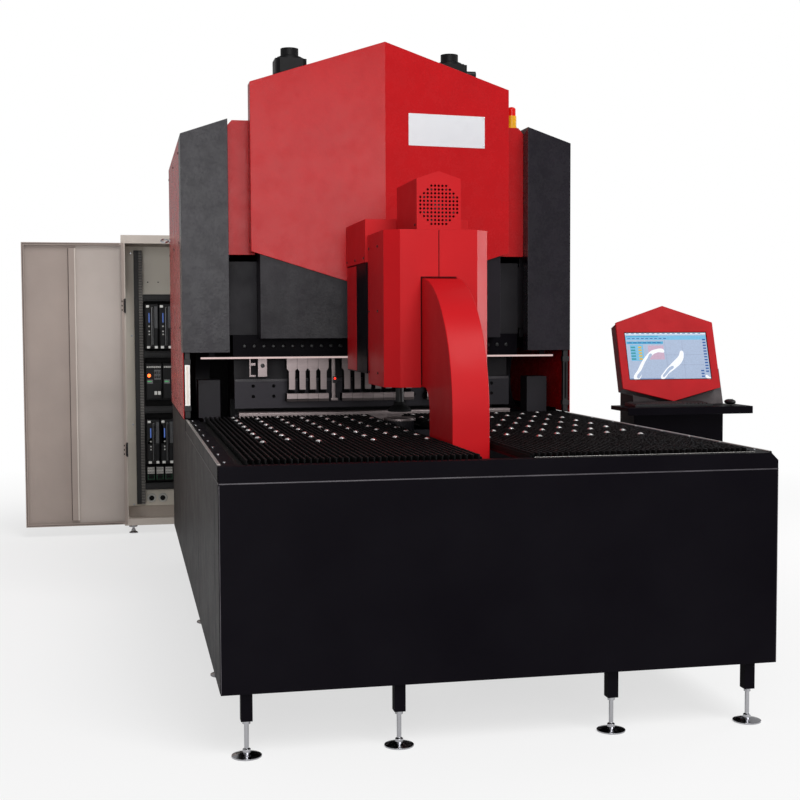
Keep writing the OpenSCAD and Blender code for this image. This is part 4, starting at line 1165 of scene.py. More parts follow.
    def build_trim(self) -> None:
        """Adds the lip and the corner edges of the skirts in a lighter grey that paints their edge highlights, and
        bright metal strips on rails and flange that paint their edge highlights.
        """
        out, y0, y1, (z0, z1) = self.half_w, self.front_y, self.back_y, self.skirt_z
        # The lip and the corner edges take a lighter grey: painted edge highlights.
        lip = [box("lip", (0.002 - out, y0 - 0.0018, z1 - 0.0030), (out - 0.002, y0 + 0.001, z1 + 0.0015), 0.0010)]
        lip += pair("lip", (out - 0.002, y0 + 0.002, z1 - 0.0024), (out + 0.0016, y1 - 0.002, z1 + 0.0012), 0.0009)
        lip += pair("corner", (out - 0.0030, y0 - 0.0012, z0 + 0.006), (out - 0.0004, y0 + 0.001, z1 - 0.006),
                    0.0006)
        self.unite("fascia_lip_highlight", lip, "edge_highlight_grey", "black_paint")
        # Bright aluminium strips along the rails' outer edges and the flange's inner edge paint their edge
        # highlights.
        edge_y, top = y0 + self.flange, self.rim_z
        strips = pair("strip", (out - 0.0125, edge_y + 0.004, top), (out - 0.0006, y1 - 0.004, top + 0.0016),
                      0.0006)
        strips.append(box("strip", (0.10, edge_y - 0.0045, top), (out - 0.07, edge_y - 0.0005, top + 0.0012),
                          0.0005))
        self.unite("rim_highlight_strips", strips, "bar_aluminium", "bar_aluminium")

    def build_rim_screws(self) -> None:
        """Sets button screws along the rails."""
        count, pitch, inset = 8, 0.290, (0.030, 0.13)
        places = [((side * (self.half_w - inset[0]), self.front_y + inset[1] + i * pitch, self.rim_z), UP)
                  for side in (-1, 1) for i in range(count)]
        self.scatter("rim_screws", button_screw(0.0056, 0.0030), places, "screw_zinc", "black_paint")


@dataclass
class Press(SubAssembly):
    """Frame, covers, ram, tools and lamps of the press.

    Attributes:
        hood_half_w: Half width of the hood.
        hood_side_y: Front of the hood at its sides.
        hood_ridge_y: Front of the hood at its ridge.
        plate_x: Left and right end of the bare plate, from the ridge.
        plate_z: Lower and upper edge of the bare plate.
        holder_z: Height of the tool holder bolts.
        holder_y: Front face of the tool holder.
        tool_pitch: Spacing of the press tools.
        tool_counts: Number of tools in the middle group and in each side group.
        tool_side_x: Inner end of a side group.
        tool_z: Top, shoulder, foot and sole of a press tool.
        tool_y: Front and back of a press tool's shank.
        finger_share: Width of a shank as a share of the tool's width.
        gauge_blocks: Lowest and highest corners of the guide blocks and the sensor arm, and their edge rounding.
        eye_place: Place of the right lifting eye's ring.
        panel_x: Outer face of the side panels.
        bar_top_z: Top of the light bar; its hangers go on above.
        clamp_z: Lower edges of the light curtain clamps.
        back_y: Back of the rear panel.
        louvre_x: Inner and outer end of the louvres.
        louvre_z: Lowest louvre, spacing and number.
    """

    hood_half_w: float = 0.674
    hood_side_y: float = -0.164
    hood_ridge_y: float = -0.250
    plate_x: tuple[float, float] = (0.123, 0.538)
    plate_z: tuple[float, float] = (2.381, 2.543)
    holder_z: float = 1.363
    holder_y: float = -0.030
    tool_pitch: float = 0.0552
    tool_counts: tuple[int, int] = (7, 4)
    tool_side_x: float = 0.263
    tool_z: tuple[float, float, float, float] = (1.306, 1.246, 1.116, 1.074)
    tool_y: tuple[float, float] = (-0.030, 0.030)
    finger_share: float = 0.60
    gauge_blocks: tuple[tuple[Place, Place, float], ...] = (
        ((-0.632, -0.024, 1.204), (-0.584, -0.004, 1.306), 0.002),
        ((-0.676, -0.024, 1.204), (-0.668, -0.004, 1.306), 0.0015),
        ((-0.670, -0.024, 1.204), (-0.644, -0.004, 1.214), 0.0015),
        ((-0.670, -0.022, 1.262), (-0.644, -0.006, 1.276), 0.0015),
        ((-0.246, -0.022, 1.082), (-0.228, -0.008, 1.306), 0.0015),
        ((-0.252, -0.026, 1.076), (-0.214, -0.006, 1.090), 0.002))
    eye_place: Place = (1.052, 1.373, 1.988)
    panel_x: float = 1.020
    bar_top_z: float = 1.310
    clamp_z: tuple[float, float] = (1.040, 1.274)
    back_y: float = 1.450
    louvre_x: tuple[float, float] = (0.300, 0.620)
    louvre_z: tuple[float, float, int] = (1.500, 0.040, 11)

    def build(self) -> None:
        """Builds and dresses the press."""
        self.soften_all({
            "upper_housing": 1.4, "column_covers": 2.5, "side_panels": 1.2, "tool_holder": 1.2, "lower_die": 1.0,
            "ram_motors": 1.6, "beacon_base": 2.0, "beacon_lens": 1.0, "rear_panel": 0.8, "side_frame_left": 2.0,
            "side_frame_right": 2.0, "crown_beam": 2.0, "base_bed": 2.0, "ram_beam": 2.0})
        self.coat("screw_left", "screw_right")
        self.soften("hood_front", 3.0, angle=8.0)
        self.soften("ram_cover", 2.5, finish="charcoal_dull", angle=8.0)
        bar = self.soften("light_bar", 1.0)
        self.paint(bar, "black_paint", lambda centre, normal: centre.z > self.bar_top_z + 0.0005)
        posts = self.soften("light_curtains", 1.5)
        low, high = self.clamp_z
        self.paint(posts, "plastic_black", lambda centre, normal: centre.x > 0.0
                   or not low + 0.028 < centre.z < high - 0.002)
        self.build_plate()
        self.build_tools()
        self.build_holder_bolts()
        self.build_gauge()
        self.build_lifting_eyes()
        self.build_curtain_windows()
        self.build_louvres()
        self.build_seals()
        self.build_cover_screws()

    def on_hood(self, x: float) -> float:
        """Gives the front of the hood at a distance from the ridge."""
        return self.hood_ridge_y + (self.hood_side_y - self.hood_ridge_y) * abs(x) / self.hood_half_w

    def build_plate(self) -> None:
        """Rivets the bare white plate to the hood's right face."""
        (x0, x1), (z0, z1) = self.plate_x, self.plate_z
        slope = math.atan2(self.hood_side_y - self.hood_ridge_y, self.hood_half_w)
        length = (x1 - x0) / math.cos(slope)
        half_l, half_h, proud, inset = length / 2, (z1 - z0) / 2, 0.0016, 0.012
        plate = box("plate", (-half_l, -proud, -half_h), (half_l, 0.0006, half_h), 0.0008)
        places = [((sx * (half_l - inset), -proud, sz * (half_h - inset)), FRONT)
                  for sx in (-1, 1) for sz in (-1, 1)]
        rivet = turned("rivet", [(0.0045, 0.0), (0.004, 0.0012), (0.0022, 0.002), (0.0, 0.0022)], 12)
        rivets = copies("rivets", rivet, places)
        middle = (x0 + x1) / 2
        for piece, name, finish in ((plate, "bare_plate", "white_plate"),
                                    (rivets, "plate_rivets", "screw_zinc")):
            piece.rotation_euler = (0.0, 0.0, slope)
            piece.location = (middle, self.on_hood(middle), (z0 + z1) / 2)
            piece.name = name
            self.dress(settle(piece), "machine", finish, "red_paint")

    def build_tools(self) -> None:
        """Draws one shouldered press tool downwards from its clamped end, and copies it along the tool holder."""
        (top, shoulder, foot, sole), (front, back) = self.tool_z, self.tool_y
        half = self.tool_pitch / 2 - 0.0004
        finger = self.finger_share * half
        slope, step, neck, toe = 0.014, 0.0005, 0.020, 0.027
        tool = box("tool", (-half, front, shoulder), (half, back, top))
        for drop, half_w, y0, y1 in ((slope, finger, front, back),
                                     (shoulder - slope - foot - neck, finger, front, back),
                                     (step, finger, 0.0, back), (neck - step, finger, 0.0, back),
                                     (step, half, front, back), (toe, half, front, 0.042),
                                     (foot - sole - toe - step, half, front + 0.006, 0.050)):
            draw_down(tool, drop, half_w, y0, y1)
        round_edges(tool, 0.0010)
        middle, side = self.tool_counts
        xs = [(i - (middle - 1) / 2) * self.tool_pitch for i in range(middle)]
        xs += [sign * (self.tool_side_x + (i + 0.5) * self.tool_pitch)
               for sign in (-1, 1) for i in range(side)]
        tools = copies("press_tool_row", tool, [((x, 0.0, 0.0), UP) for x in xs])
        self.dress(tools, "ram", "tool_steel", "tool_steel", "press_tools")
        # The tools' sides and the recessed front of the neck take near-black: painted shade between the tools and
        # in the recess.
        self.paint(tools, "dark_seam_and_shade", lambda centre, normal: abs(normal.x) > 0.6
                   or (normal.y < -0.6 and centre.y > -0.020))

    def build_holder_bolts(self) -> None:
        """Sets the clamping bolts in the tool holder."""
        pitch, reach, sunk = 0.05, 14, 0.008
        places = [((i * pitch, self.holder_y + sunk, self.holder_z), FRONT) for i in range(-reach, reach + 1)]
        self.scatter("holder_bolts", button_screw(0.0098, 0.006), places, "screw_black", "black_paint", "ram")

    def build_gauge(self) -> None:
        """Hangs the guide blocks and the sensor arm with its indicator below the tool holder."""
        blocks = [box("block", low, high, edge) for low, high, edge in self.gauge_blocks]
        self.unite("gauge_blocks", blocks, "tool_steel", "tool_steel", "ram")
        sensor = box("sensor_head", (-0.243, -0.034, 1.168), (-0.220, -0.022, 1.205), 0.003)
        bolt = copies("block_bolt", button_screw(0.011, 0.004), [((-0.608, -0.024, 1.262), FRONT)])
        self.unite("sensor_head", [sensor, bolt], "screw_black", "black_paint", "ram")
        lens = turned("lens", [(0.006, 0.0), (0.0056, 0.002), (0.003, 0.0038), (0.0, 0.0042)], 14)
        self.scatter("sensor_lens", lens, [((-0.2315, -0.034, 1.192), FRONT)], "led_red", "black_paint", "ram")

    def build_lifting_eyes(self) -> None:
        """Screws a lifting eye into each side near the back."""
        eyes = []
        x, y, z = self.eye_place
        for side in (-1, 1):
            deselect()
            bpy.ops.mesh.primitive_torus_add(major_radius=0.022, minor_radius=0.005, major_segments=28,
                                             minor_segments=10, location=(side * x, y, z),
                                             rotation=(math.radians(28.0), 0.0, 0.0))
            eyes.append(settle(bpy.context.object))
            shank = turned("shank", [(0.0, 0.0), (0.015, 0.0), (0.015, 0.004), (0.008, 0.006), (0.0065, 0.014),
                                     (0.0, 0.014)], 16)
            eyes.append(copies("shank", shank, [((side * self.panel_x, y, z), (side, 0, 0))]))
        ring = join("lifting_eyes", eyes)
        bpy.ops.object.shade_smooth_by_angle(angle=math.radians(40))
        self.dress(ring, "machine", "screw_zinc", "foot_chrome")

    def build_curtain_windows(self) -> None:
        """Lets a pale window into the sending light curtain and a dark one into the receiving one."""
        windows = pair("window", (0.993, -0.1360, 1.075), (1.003, -0.1348, 1.268), 0.0004)
        for window, name, finish in zip(windows, ("left", "right"), ("window_pale", "dark_seam_and_shade")):
            window.name = f"curtain_window_{name}"
            self.dress(window, "machine", finish, "bar_aluminium")

    def build_louvres(self) -> None:
        """Presses a sloping blade over each slot of the rear panel."""
        (x0, x1), (z0, step, count) = self.louvre_x, self.louvre_z
        blade = box("blade", (x0, self.back_y - 0.001, z0 + 0.002), (x1, self.back_y + 0.0008, z0 + 0.020))
        pick_vertices(blade, [v.co.z < z0 + 0.005 for v in blade.data.vertices])
        bpy.ops.transform.translate(value=(0.0, 0.011, 0.0))
        bpy.ops.object.mode_set(mode="OBJECT")
        round_edges(blade, 0.0005, 1)
        spread(blade, count, (0.0, 0.0, step))
        twin = duplicate(blade)
        twin.location.x = -(x0 + x1)
        self.unite("louvre_blades", [blade, twin], "frame_paint", "frame_paint")

    def build_seals(self) -> None:
        """Backs the louvres with filter mats and seals the joint between side panels and skirts."""
        (x0, x1), (z0, step, count), border = self.louvre_x, self.louvre_z, 0.012
        seals = pair("mat", (x0 - border, self.back_y - 0.014, z0 - border),
                     (x1 + border, self.back_y - 0.005, z0 + count * step), 0.001)
        seals += pair("seal", (1.0040, 0.080, 0.988), (1.0168, self.back_y - 0.010, 1.012), 0.001)
        self.unite("panel_seals", seals, "dark_seam_and_shade", "frame_paint")

    def build_cover_screws(self) -> None:
        """Sets the screws of the side panels and of the rear panel."""
        places = []
        for side in (-1, 1):
            places += [((side * self.panel_x, y, z), (side, 0, 0))
                       for z in (1.06, 1.46, 1.90, 2.36) for y in (0.12, 0.76, 1.40)]
            places += [((side * 0.96, self.back_y, z), BACK) for z in (0.30, 0.70, 1.10, 1.45, 2.00, 2.38)]
        self.scatter("panel_screws", button_screw(0.0060, 0.0026), places, "screw_black", "red_paint")


@dataclass
class BendingUnit(SubAssembly):
    """Bending beam with its blades and their bolts.

    Attributes:
        blade_y: Front face of the blades.
        bolt_z: Heights of the bolt rows.
        bolt_pitch: Spacing of the bolts.
    """

    blade_y: float = 0.075
    bolt_z: tuple[float, float] = (1.098, 1.152)
    bolt_pitch: float = 0.108

    def build(self) -> None:
        """Builds and dresses the bending unit."""
        self.soften_all({"upper_blade": 1.2, "lower_blade": 1.0, "bend_beam": 3.0, "bend_carriage": 2.0})
        sunk, reach = 0.007, 6
        places = [((i * self.bolt_pitch, self.blade_y + sunk, z), FRONT)
                  for i in range(-reach, reach + 1) for z in self.bolt_z]
        self.scatter("blade_bolts", button_screw(0.0104, 0.005), places, "dark_seam_and_shade", "blade_steel", "bend_head")
        # A lighter grey strip along the upper blade's top edge paints its edge highlight.
        low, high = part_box("upper_blade")
        edge = box("blade_edge_highlight", (low.x + 0.002, self.blade_y - 0.0012, high.z - 0.014),
                   (high.x - 0.002, self.blade_y + 0.001, high.z - 0.001), 0.0006)
        self.dress(edge, "bend_head", "edge_highlight_grey", "blade_steel")


@dataclass
class Manipulator(SubAssembly):
    """Sheet manipulator: arm, head, fan cover, spindle housing, clamp and turning disc.

    Attributes:
        head_half_w: Half width of the head.
        head_front_y: Front of the head.
        fan_half_w: Half width of the fan cover.
        fan_z: Middle of the field of holes.
        arm_half_w: Half width of the arm.
        head_z: Lower end of the head's joints, top of the arm's slot and upper end of the joints.
        rear_half_w: Half width of the rear cover.
    """

    head_half_w: float = 0.228
    head_front_y: float = -1.390
    fan_half_w: float = 0.096
    fan_z: float = 1.975
    arm_half_w: float = 0.075
    head_z: tuple[float, float, float] = (1.215, 1.673, 1.868)
    rear_half_w: float = 0.240

    def build(self) -> None:
        """Builds and dresses the manipulator."""
        self.soften_all({"arm": 4.0, "head_shell": 5.0, "fan_cover": 1.0, "rear_cover": 4.0}, 3, "enamel_red")
        self.soften_all({"spindle_housing": 3.0, "carriage": 2.0, "clamp_pad": 1.0, "lower_disc": 0.8}, 3)
        self.soften("clamp_spindle", 0.6, finish="screw_black")
        self.build_seams()
        self.build_screws()
        self.build_fan()

    def build_seams(self) -> None:
        """Marks the joint of the head's two half shells and the arm's slot, and clads the housing's sides."""
        front, back, half_gap, width = self.head_front_y - 0.0006, self.head_front_y + 0.001, 0.0014, 0.0035
        (low_z, slot_z, top_z), slot_x = self.head_z, self.arm_half_w + 0.001
        gaps = [box("gap", (-half_gap, front, slot_z), (half_gap, back, top_z)),
                box("gap", (-slot_x - width, front, slot_z - 0.004), (slot_x, back, slot_z)),
                box("gap", (-slot_x - width, front, low_z), (-slot_x, back, slot_z))]
        self.unite("head_joints", gaps, "dark_seam_and_shade", "red_paint", "manipulator")
        low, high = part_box("spindle_housing")
        thick, margin = 0.0016, 0.006
        plates = [box("plate", (x, (low.y + high.y) / 2, low.z + margin),
                      (x + thick, high.y - margin, high.z - margin), 0.0007) for x in (low.x - thick, high.x)]
        self.unite("housing_plates", plates, "enamel_red", "red_paint", "manipulator")

    def build_screws(self) -> None:
        """Sets the cover screws of the head, the fan cover and the rear cover."""
        rows = ((self.head_half_w, (-1.00, -1.20), (1.26, 1.53, 1.81)),
                (self.fan_half_w, (-1.36, -1.02), (1.892,)),
                (self.rear_half_w, (-0.93, -0.71, -0.49), (1.772,)))
        places = [((side * x, y, z), (side, 0, 0))
                  for side in (-1, 1) for x, ys, zs in rows for z in zs for y in ys]
        screw = button_screw(0.0055, 0.0026)
        self.scatter("cover_screws", screw, places, "screw_black", "red_paint", "manipulator")

    def build_fan(self) -> None:
        """Hangs a fan behind the field of holes: a ring, a hub and seven blades."""
        y = self.head_front_y + 0.030
        ring = turned("ring", [(0.070, 0.0), (0.076, 0.0), (0.076, 0.022), (0.070, 0.022), (0.070, 0.0)], 32)
        hub = turned("hub", [(0.0, 0.0), (0.026, 0.0), (0.026, 0.018), (0.020, 0.022), (0.0, 0.022)], 24)
        blade = box("blade", (0.024, -0.016, 0.004), (0.067, 0.016, 0.006), 0.0006)
        blade.rotation_euler = (math.radians(28.0), 0.0, 0.0)
        settle(blade)
        blades = []
        for i in range(7):
            copy = duplicate(blade)
            copy.rotation_euler = (0.0, 0.0, i * math.tau / 7)
            blades.append(settle(copy))
        bpy.data.objects.remove(blade)
        fan = copies("fan", join("fan", [ring, hub, *blades]), [((0.0, y, self.fan_z), FRONT)])
        self.dress(fan, "manipulator", "plastic_black", "plastic_black")


def repeated(area: Area, count: int, across: float = 0.0, up: float = 0.0) -> list[Area]:
    """Repeats a field of the display in steps across it or up it."""
    u0, u1, v0, v1 = area
    return [(u0 + i * across, u1 + i * across, v0 + i * up, v1 + i * up) for i in range(count)]


@dataclass
class Console(SubAssembly):
    """Operator console with a tilted display, keyboard and mouse.

    Attributes:
        tip: Lower tip of the bezel.
        tilt: Backward tilt of the display, in degrees.
        screen_y: Depth of the display's face behind the bezel's face.
        pedestal_x: Left and right side of the pedestal.
        pedestal_y: Front of the pedestal.
        tray_z: Top of the tray.
    """

    tip: Place = (1.607, -0.160, 1.052)
    tilt: float = 18.0
    screen_y: float = 0.004
    pedestal_x: tuple[float, float] = (1.405, 1.929)
    pedestal_y: float = -0.090
    tray_z: float = 1.030

    def build(self) -> None:
        """Builds and dresses the console."""
        self.soften_all({"tray": 3.0, "keyboard": 0.8, "screen": 0.4})
        self.soften("bezel", 2.0, finish="bezel_red")
        body = self.soften("console_body", 4.0)
        # Above the tray the body takes a lighter grey than its charcoal: painted light where the bezel's shadow
        # falls.
        self.paint(body, "console_lit_grey", lambda centre, normal: centre.z > self.tray_z + 0.002)
        self.build_display()
        self.build_mouse()
        self.build_pedestal_door()

    def lay_on_slope(self, piece: Piece) -> Piece:
        """Moves a piece modelled from the bezel's tip, upright, onto the tilted display."""
        piece.rotation_euler = (math.radians(-self.tilt), 0.0, 0.0)
        piece.location = self.tip
        return settle(piece)

    def fields(self, name: str, finish: str, areas: Sequence[Area], lift: float) -> None:
        """Lights rectangular fields on the display.

        Args:
            name: Name of the piece.
            finish: Key of the finish.
            areas: Left, right, lower and upper edge of each field.
            lift: Height of the fields over the display's face.
        """
        parts = [box("field", (u0, self.screen_y - lift, v0), (u1, self.screen_y + 0.0005, v1), 0.0001, 1)
                 for u0, u1, v0, v1 in areas]
        self.dress(self.lay_on_slope(join(name, parts)), "machine", finish, "screen_glass")

    def build_display(self) -> None:
        """Lights the display with plain fields: a header, lists, two drawn profiles and a column of values."""
        self.fields("display_pale", "display_pale", [(-0.238, 0.238, 0.379, 0.3905)], 0.0004)
        self.fields("display_band", "display_band",
                    [(-0.236, 0.236, 0.349, 0.373), (-0.2145, -0.139, 0.2305, 0.3213)], 0.0004)
        self.fields("display_header", "display_header",
                    [(-0.230, -0.045, 0.3655, 0.3725), (-0.232, -0.020, 0.326, 0.340)], 0.0006)
        self.fields("display_text", "display_text",
                    repeated((0.2125, 0.2305, 0.345, 0.3525), 12, up=-0.0165)
                    + repeated((0.184, 0.2015, 0.135, 0.1425), 3, up=0.016)
                    + repeated((-0.224, -0.208, 0.3545, 0.3590), 9, 0.026)
                    + repeated((-0.222, -0.202, 0.3305, 0.3350), 7, 0.028)
                    + repeated((-0.230, -0.214, 0.3830, 0.3865), 15, 0.030)
                    + [(-0.235, 0.020, 0.1290, 0.1310)], 0.0009)
        self.fields("display_teal", "display_teal",
                    repeated((-0.212, -0.186, 0.236, 0.245), 5, up=0.0165), 0.0007)
        self.fields("display_yellow", "display_yellow",
                    repeated((-0.168, -0.149, 0.236, 0.246), 5, up=0.0165), 0.0007)
        self.fields("display_pink", "display_pink", [(-0.111, -0.020, 0.237, 0.3165)], 0.0004)
        self.fields("display_line", "display_line",
                    [(-0.0107, -0.0095, 0.128, 0.345), (0.0897, 0.0909, 0.128, 0.345),
                     (-0.010, 0.205, 0.2620, 0.2631), (-0.010, 0.205, 0.2050, 0.2061)], 0.0005)
        outer = [[(-0.2098, 0.1240), (-0.1825, 0.1833), (-0.1319, 0.2540), (-0.0808, 0.2918), (-0.0187, 0.2835),
                  (-0.0610, 0.2765), (-0.0895, 0.2624), (-0.1190, 0.2246), (-0.1551, 0.1715), (-0.1857, 0.1240)],
                 [(-0.0547, 0.1279), (-0.0350, 0.1657), (0.0111, 0.2104), (0.0596, 0.2540), (0.0847, 0.2859),
                  (0.0912, 0.2540), (0.0740, 0.2187), (0.0316, 0.1833), (-0.0128, 0.1515), (-0.0354, 0.1279)],
                 [(0.2071, 0.1444), (0.2265, 0.1362), (0.2364, 0.1240), (0.2171, 0.1240)]]
        inner = [[(-0.1895, 0.1303), (-0.1607, 0.1833), (-0.1238, 0.2423), (-0.0959, 0.2694), (-0.1068, 0.2423),
                  (-0.1397, 0.1951), (-0.1734, 0.1420)],
                 [(-0.0415, 0.1362), (-0.0254, 0.1657), (0.0154, 0.1986), (0.0249, 0.1963), (-0.0004, 0.1715),
                  (-0.0310, 0.1420)]]
        u, (low, high), w = 0.2400, (0.1225, 0.3920), 0.0034
        self.fields("display_gasket", "dark_seam_and_shade",
                    [(-u, w - u, low, high), (u - w, u, low, high),
                     (-u, u, low, low + w), (-u, u, high - w, high)], 0.0018)
        for name, outlines, finish, lift in (("display_profiles", outer, "display_white", 0.0012),
                                             ("display_cores", inner, "screen_glass", 0.0015)):
            shapes = [self.outline(points, lift) for points in outlines]
            self.dress(self.lay_on_slope(join(name, shapes)), "machine", finish, "screen_glass")

    def outline(self, points: Sequence[tuple[float, float]], lift: float) -> Piece:
        """Fills a smooth closed outline on the display, as a profile seen from its end.

        Args:
            points: Outline as places across and up the display.
            lift: Height over the display's face.

        Returns:
            The flat piece, upright from the bezel's tip.
        """
        data = bpy.data.curves.new("outline", "CURVE")
        data.dimensions = "2D"
        data.fill_mode = "BOTH"
        spline = data.splines.new("BEZIER")
        spline.bezier_points.add(len(points) - 1)
        for point, (u, v) in zip(spline.bezier_points, points):
            point.co = (u, v, 0.0)
            point.handle_left_type = point.handle_right_type = "AUTO"
        spline.use_cyclic_u = True
        curve = bpy.data.objects.new("outline", data)
        bpy.context.scene.collection.objects.link(curve)
        activate(curve)
        bpy.ops.object.convert(target="MESH")
        shape = bpy.context.object
        shape.rotation_euler = (math.radians(90.0), 0.0, 0.0)
        shape.location = (0.0, self.screen_y - lift, 0.0)
        return settle(shape)

    def build_mouse(self) -> None:
        """Shapes the mouse from a subdivided block with a wheel."""
        low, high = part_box("mouse")
        body = box("mouse_body", low, (high.x, high.y, high.z - 0.004))
        apply_modifier(body, "SUBSURF", levels=3, render_levels=3)
        wheel = turned("wheel", [(0.0, -0.003), (0.006, -0.003), (0.007, 0.0), (0.006, 0.003), (0.0, 0.003)],
                       16)
        wheel = copies("wheel", wheel, [(((low.x + high.x) / 2, low.y + 0.030, high.z - 0.012), (1, 0, 0))])
        mouse = join("mouse_shape", [body, wheel])
        bpy.ops.object.shade_smooth_by_angle(angle=math.radians(50))
        self.dress(mouse, "machine", "plastic_black", "plastic_black", "mouse")

    def build_pedestal_door(self) -> None:
        """Hangs a flush door with two locks on the front of the pedestal."""
        x0, x1 = self.pedestal_x
        door = box("pedestal_door", (x0 + 0.012, self.pedestal_y - 0.0016, 0.050),
                   (x1 - 0.012, self.pedestal_y, 0.985), 0.0008)
        self.dress(door, "machine", "black_paint", "black_paint")
        lock = turned("lock", [(0.012, 0.0), (0.012, 0.003), (0.010, 0.0042), (0.004, 0.0042), (0.004, 0.002),
                               (0.0, 0.002)], 20)
        places = [((x0 + 0.040, self.pedestal_y - 0.0016, z), FRONT) for z in (0.30, 0.72)]
        self.scatter("pedestal_locks", lock, places, "screw_zinc", "foot_chrome")


@dataclass
class Cabinet(SubAssembly):
    """Switch cabinet with its open door and its devices.

    Attributes:
        plate_y: Front of the mounting plate.
        base_z: Bottom of the cabinet.
        device_x: Left side of the first device.
        device_gap: Gap between two devices.
        rows: Height, number, width, height and depth of the devices in each row.
        duct_x: Left and right side of the upright duct.
        duct_z: Lower and upper end of the upright duct.
        duct_y: Front of the ducts.
        level_x: Left and right end of the level ducts.
        level_z: Lower edges of the level ducts.
        finger_pitch: Spacing of the ducts' fingers.
        hinge_z: Heights of the hinges.
        hinge_x: Axis of the hinges.
        door_x: Left and right side of the open door.
        rib_x: Middle of the door's stiffening rib.
        door_y: Face of the open door towards the operator.
    """

    plate_y: float = 3.0
    base_z: float = 0.06
    device_x: float = -1.150
    device_gap: float = 0.006
    rows: tuple[tuple[float, int, float, float, float], ...] = (
        (0.280, 8, 0.058, 0.110, 0.070), (0.415, 5, 0.092, 0.320, 0.190), (0.870, 4, 0.116, 0.270, 0.080),
        (1.245, 5, 0.092, 0.320, 0.190))
    duct_x: tuple[float, float] = (-1.225, -1.165)
    duct_z: tuple[float, float] = (0.170, 2.017)
    duct_y: float = 2.930
    level_x: tuple[float, float] = (-1.163, -0.630)
    level_z: tuple[float, ...] = (0.275, 0.835, 1.240, 1.650)
    finger_pitch: float = 0.0115
    hinge_z: tuple[float, float] = (0.601, 1.613)
    hinge_x: float = -1.290
    door_x: tuple[float, float] = (-1.986, -1.296)
    rib_x: float = -1.647
    door_y: float = 2.605

    def build(self) -> None:
        """Builds and dresses the cabinet."""
        self.soften_all({"wire_ducts": 1.0, "door_handle": 2.0})
        # The body takes a lighter copy of the door's paint: painted light, as body and door share one paint.
        for node, finish in (("cabinet_body", "pebble_painted_lit"), ("cabinet_door", "pebble_paint")):
            shell = self.soften(node, 1.5, finish=finish)
            self.paint(shell, "screw_black", self.on_hinge)
        self.soften("drive_units", 5.0, 3)
        self.coat("back_plate")
        self.build_drives()
        self.build_controllers()
        self.build_terminals()
        self.build_duct_fingers()
        self.build_plate_screws()
        self.build_door_details()
        self.build_loom()
        self.build_shade_mat()

    def on_hinge(self, centre: Vector, normal: Vector) -> bool:
        """Says whether a face belongs to a hinge knuckle."""
        radius, half_h, back_y = 0.0075, 0.053, 2.6285
        return (abs(centre.x - self.hinge_x) < radius and centre.y < back_y
                and any(abs(centre.z - z) < half_h for z in self.hinge_z))

    def device_places(self, *numbers: int) -> list[tuple[Place, Place]]:
        """Gives the lower left front corner of every device in the rows with the given numbers."""
        return [((self.device_x + i * (width + self.device_gap), self.plate_y - depth, self.base_z + z), UP)
                for z, count, width, _, depth in (self.rows[number] for number in numbers) for i in range(count)]

    def fit(self, name: str, finish: str, parts: Sequence[Piece], *numbers: int,
            slot: str = "plastic_black") -> None:
        """Fits the same small pieces to every device of some rows.

        Args:
            name: Name of the joined piece.
            finish: Key of the finish.
            parts: Pieces modelled from a device's lower left front corner.
            numbers: Numbers of the rows.
            slot: Record slot of the finish.
        """
        self.scatter(name, join(name, parts), self.device_places(*numbers), finish, slot)

    def build_drives(self) -> None:
        """Gives the servo drives a glossy pillar, a display, cooling ribs, plugs and sockets."""
        self.fit("drive_pillars", "gloss_black",
                 [box("pillar", (0.034, -0.034, 0.018), (0.060, 0.001, 0.304), 0.010, 4)], 1, 3)
        self.fit("drive_displays", "device_blue",
                 [box("display", (0.0235, -0.0035, 0.190), (0.0305, 0.001, 0.258), 0.0010)], 1, 3,
                 slot="screen_glass")
        self.fit("drive_ports", "device_white",
                 [box("port", (0.022, -0.0085, z), (0.032, 0.001, z + 0.010), 0.0012)
                  for z in (0.100, 0.122, 0.158)]
                 + [box("port", (0.006, -0.012, 0.297), (0.028, 0.001, 0.314), 0.0015),
                    box("port", (0.010, -0.016, 0.004), (0.032, 0.001, 0.022), 0.0015),
                    box("port", (0.064, -0.016, 0.004), (0.086, 0.001, 0.022), 0.0015)], 1, 3)
        self.fit("drive_ribs", "device_grey",
                 [box("rib", (x, -0.010, 0.150), (x + 0.0028, 0.001, 0.305), 0.0008)
                  for x in (0.065, 0.0705, 0.076, 0.0815)], 1, 3)

    def build_controllers(self) -> None:
        """Gives the controllers rows of clamps, sockets, indicators and small covers."""
        self.fit("controller_clamps", "device_white",
                 [box("clamp", (0.008 + k * 0.0128, -0.007, z), (0.018 + k * 0.0128, 0.001, z + 0.013), 0.001)
                  for k in range(8) for z in (0.236, 0.012)]
                 + [box("plug", (0.060 + k * 0.026, -0.016, 0.040), (0.080 + k * 0.026, 0.001, 0.066), 0.002)
                    for k in range(2)], 2)
        self.fit("controller_covers", "device_grey",
                 [box("cover", (0.010, -0.006, 0.086), (0.050, 0.001, 0.150), 0.002),
                  box("cover", (0.060, -0.004, 0.150), (0.106, 0.001, 0.222), 0.002)], 2)
        self.fit("controller_sockets", "gloss_black",
                 [box("socket", (0.062 + k * 0.015, -0.010, z), (0.073 + k * 0.015, 0.001, z + 0.020), 0.002)
                  for k in range(3) for z in (0.162, 0.192)], 2)
        self.fit("controller_lamps", "led_green",
                 [box("lamp", (0.014 + k * 0.010, -0.0085, 0.136), (0.018 + k * 0.010, 0.0, 0.140), 0.0006)
                  for k in range(3)], 2)
        x, y, z = self.device_places(2)[0][0]
        lens = turned("lens", [(0.012, 0.0), (0.012, 0.004), (0.009, 0.008), (0.004, 0.0105), (0.0, 0.011)], 20)
        self.scatter("warning_lamp", lens, [((x + 0.024, y, z + 0.180), FRONT)], "led_orange", "plastic_black")

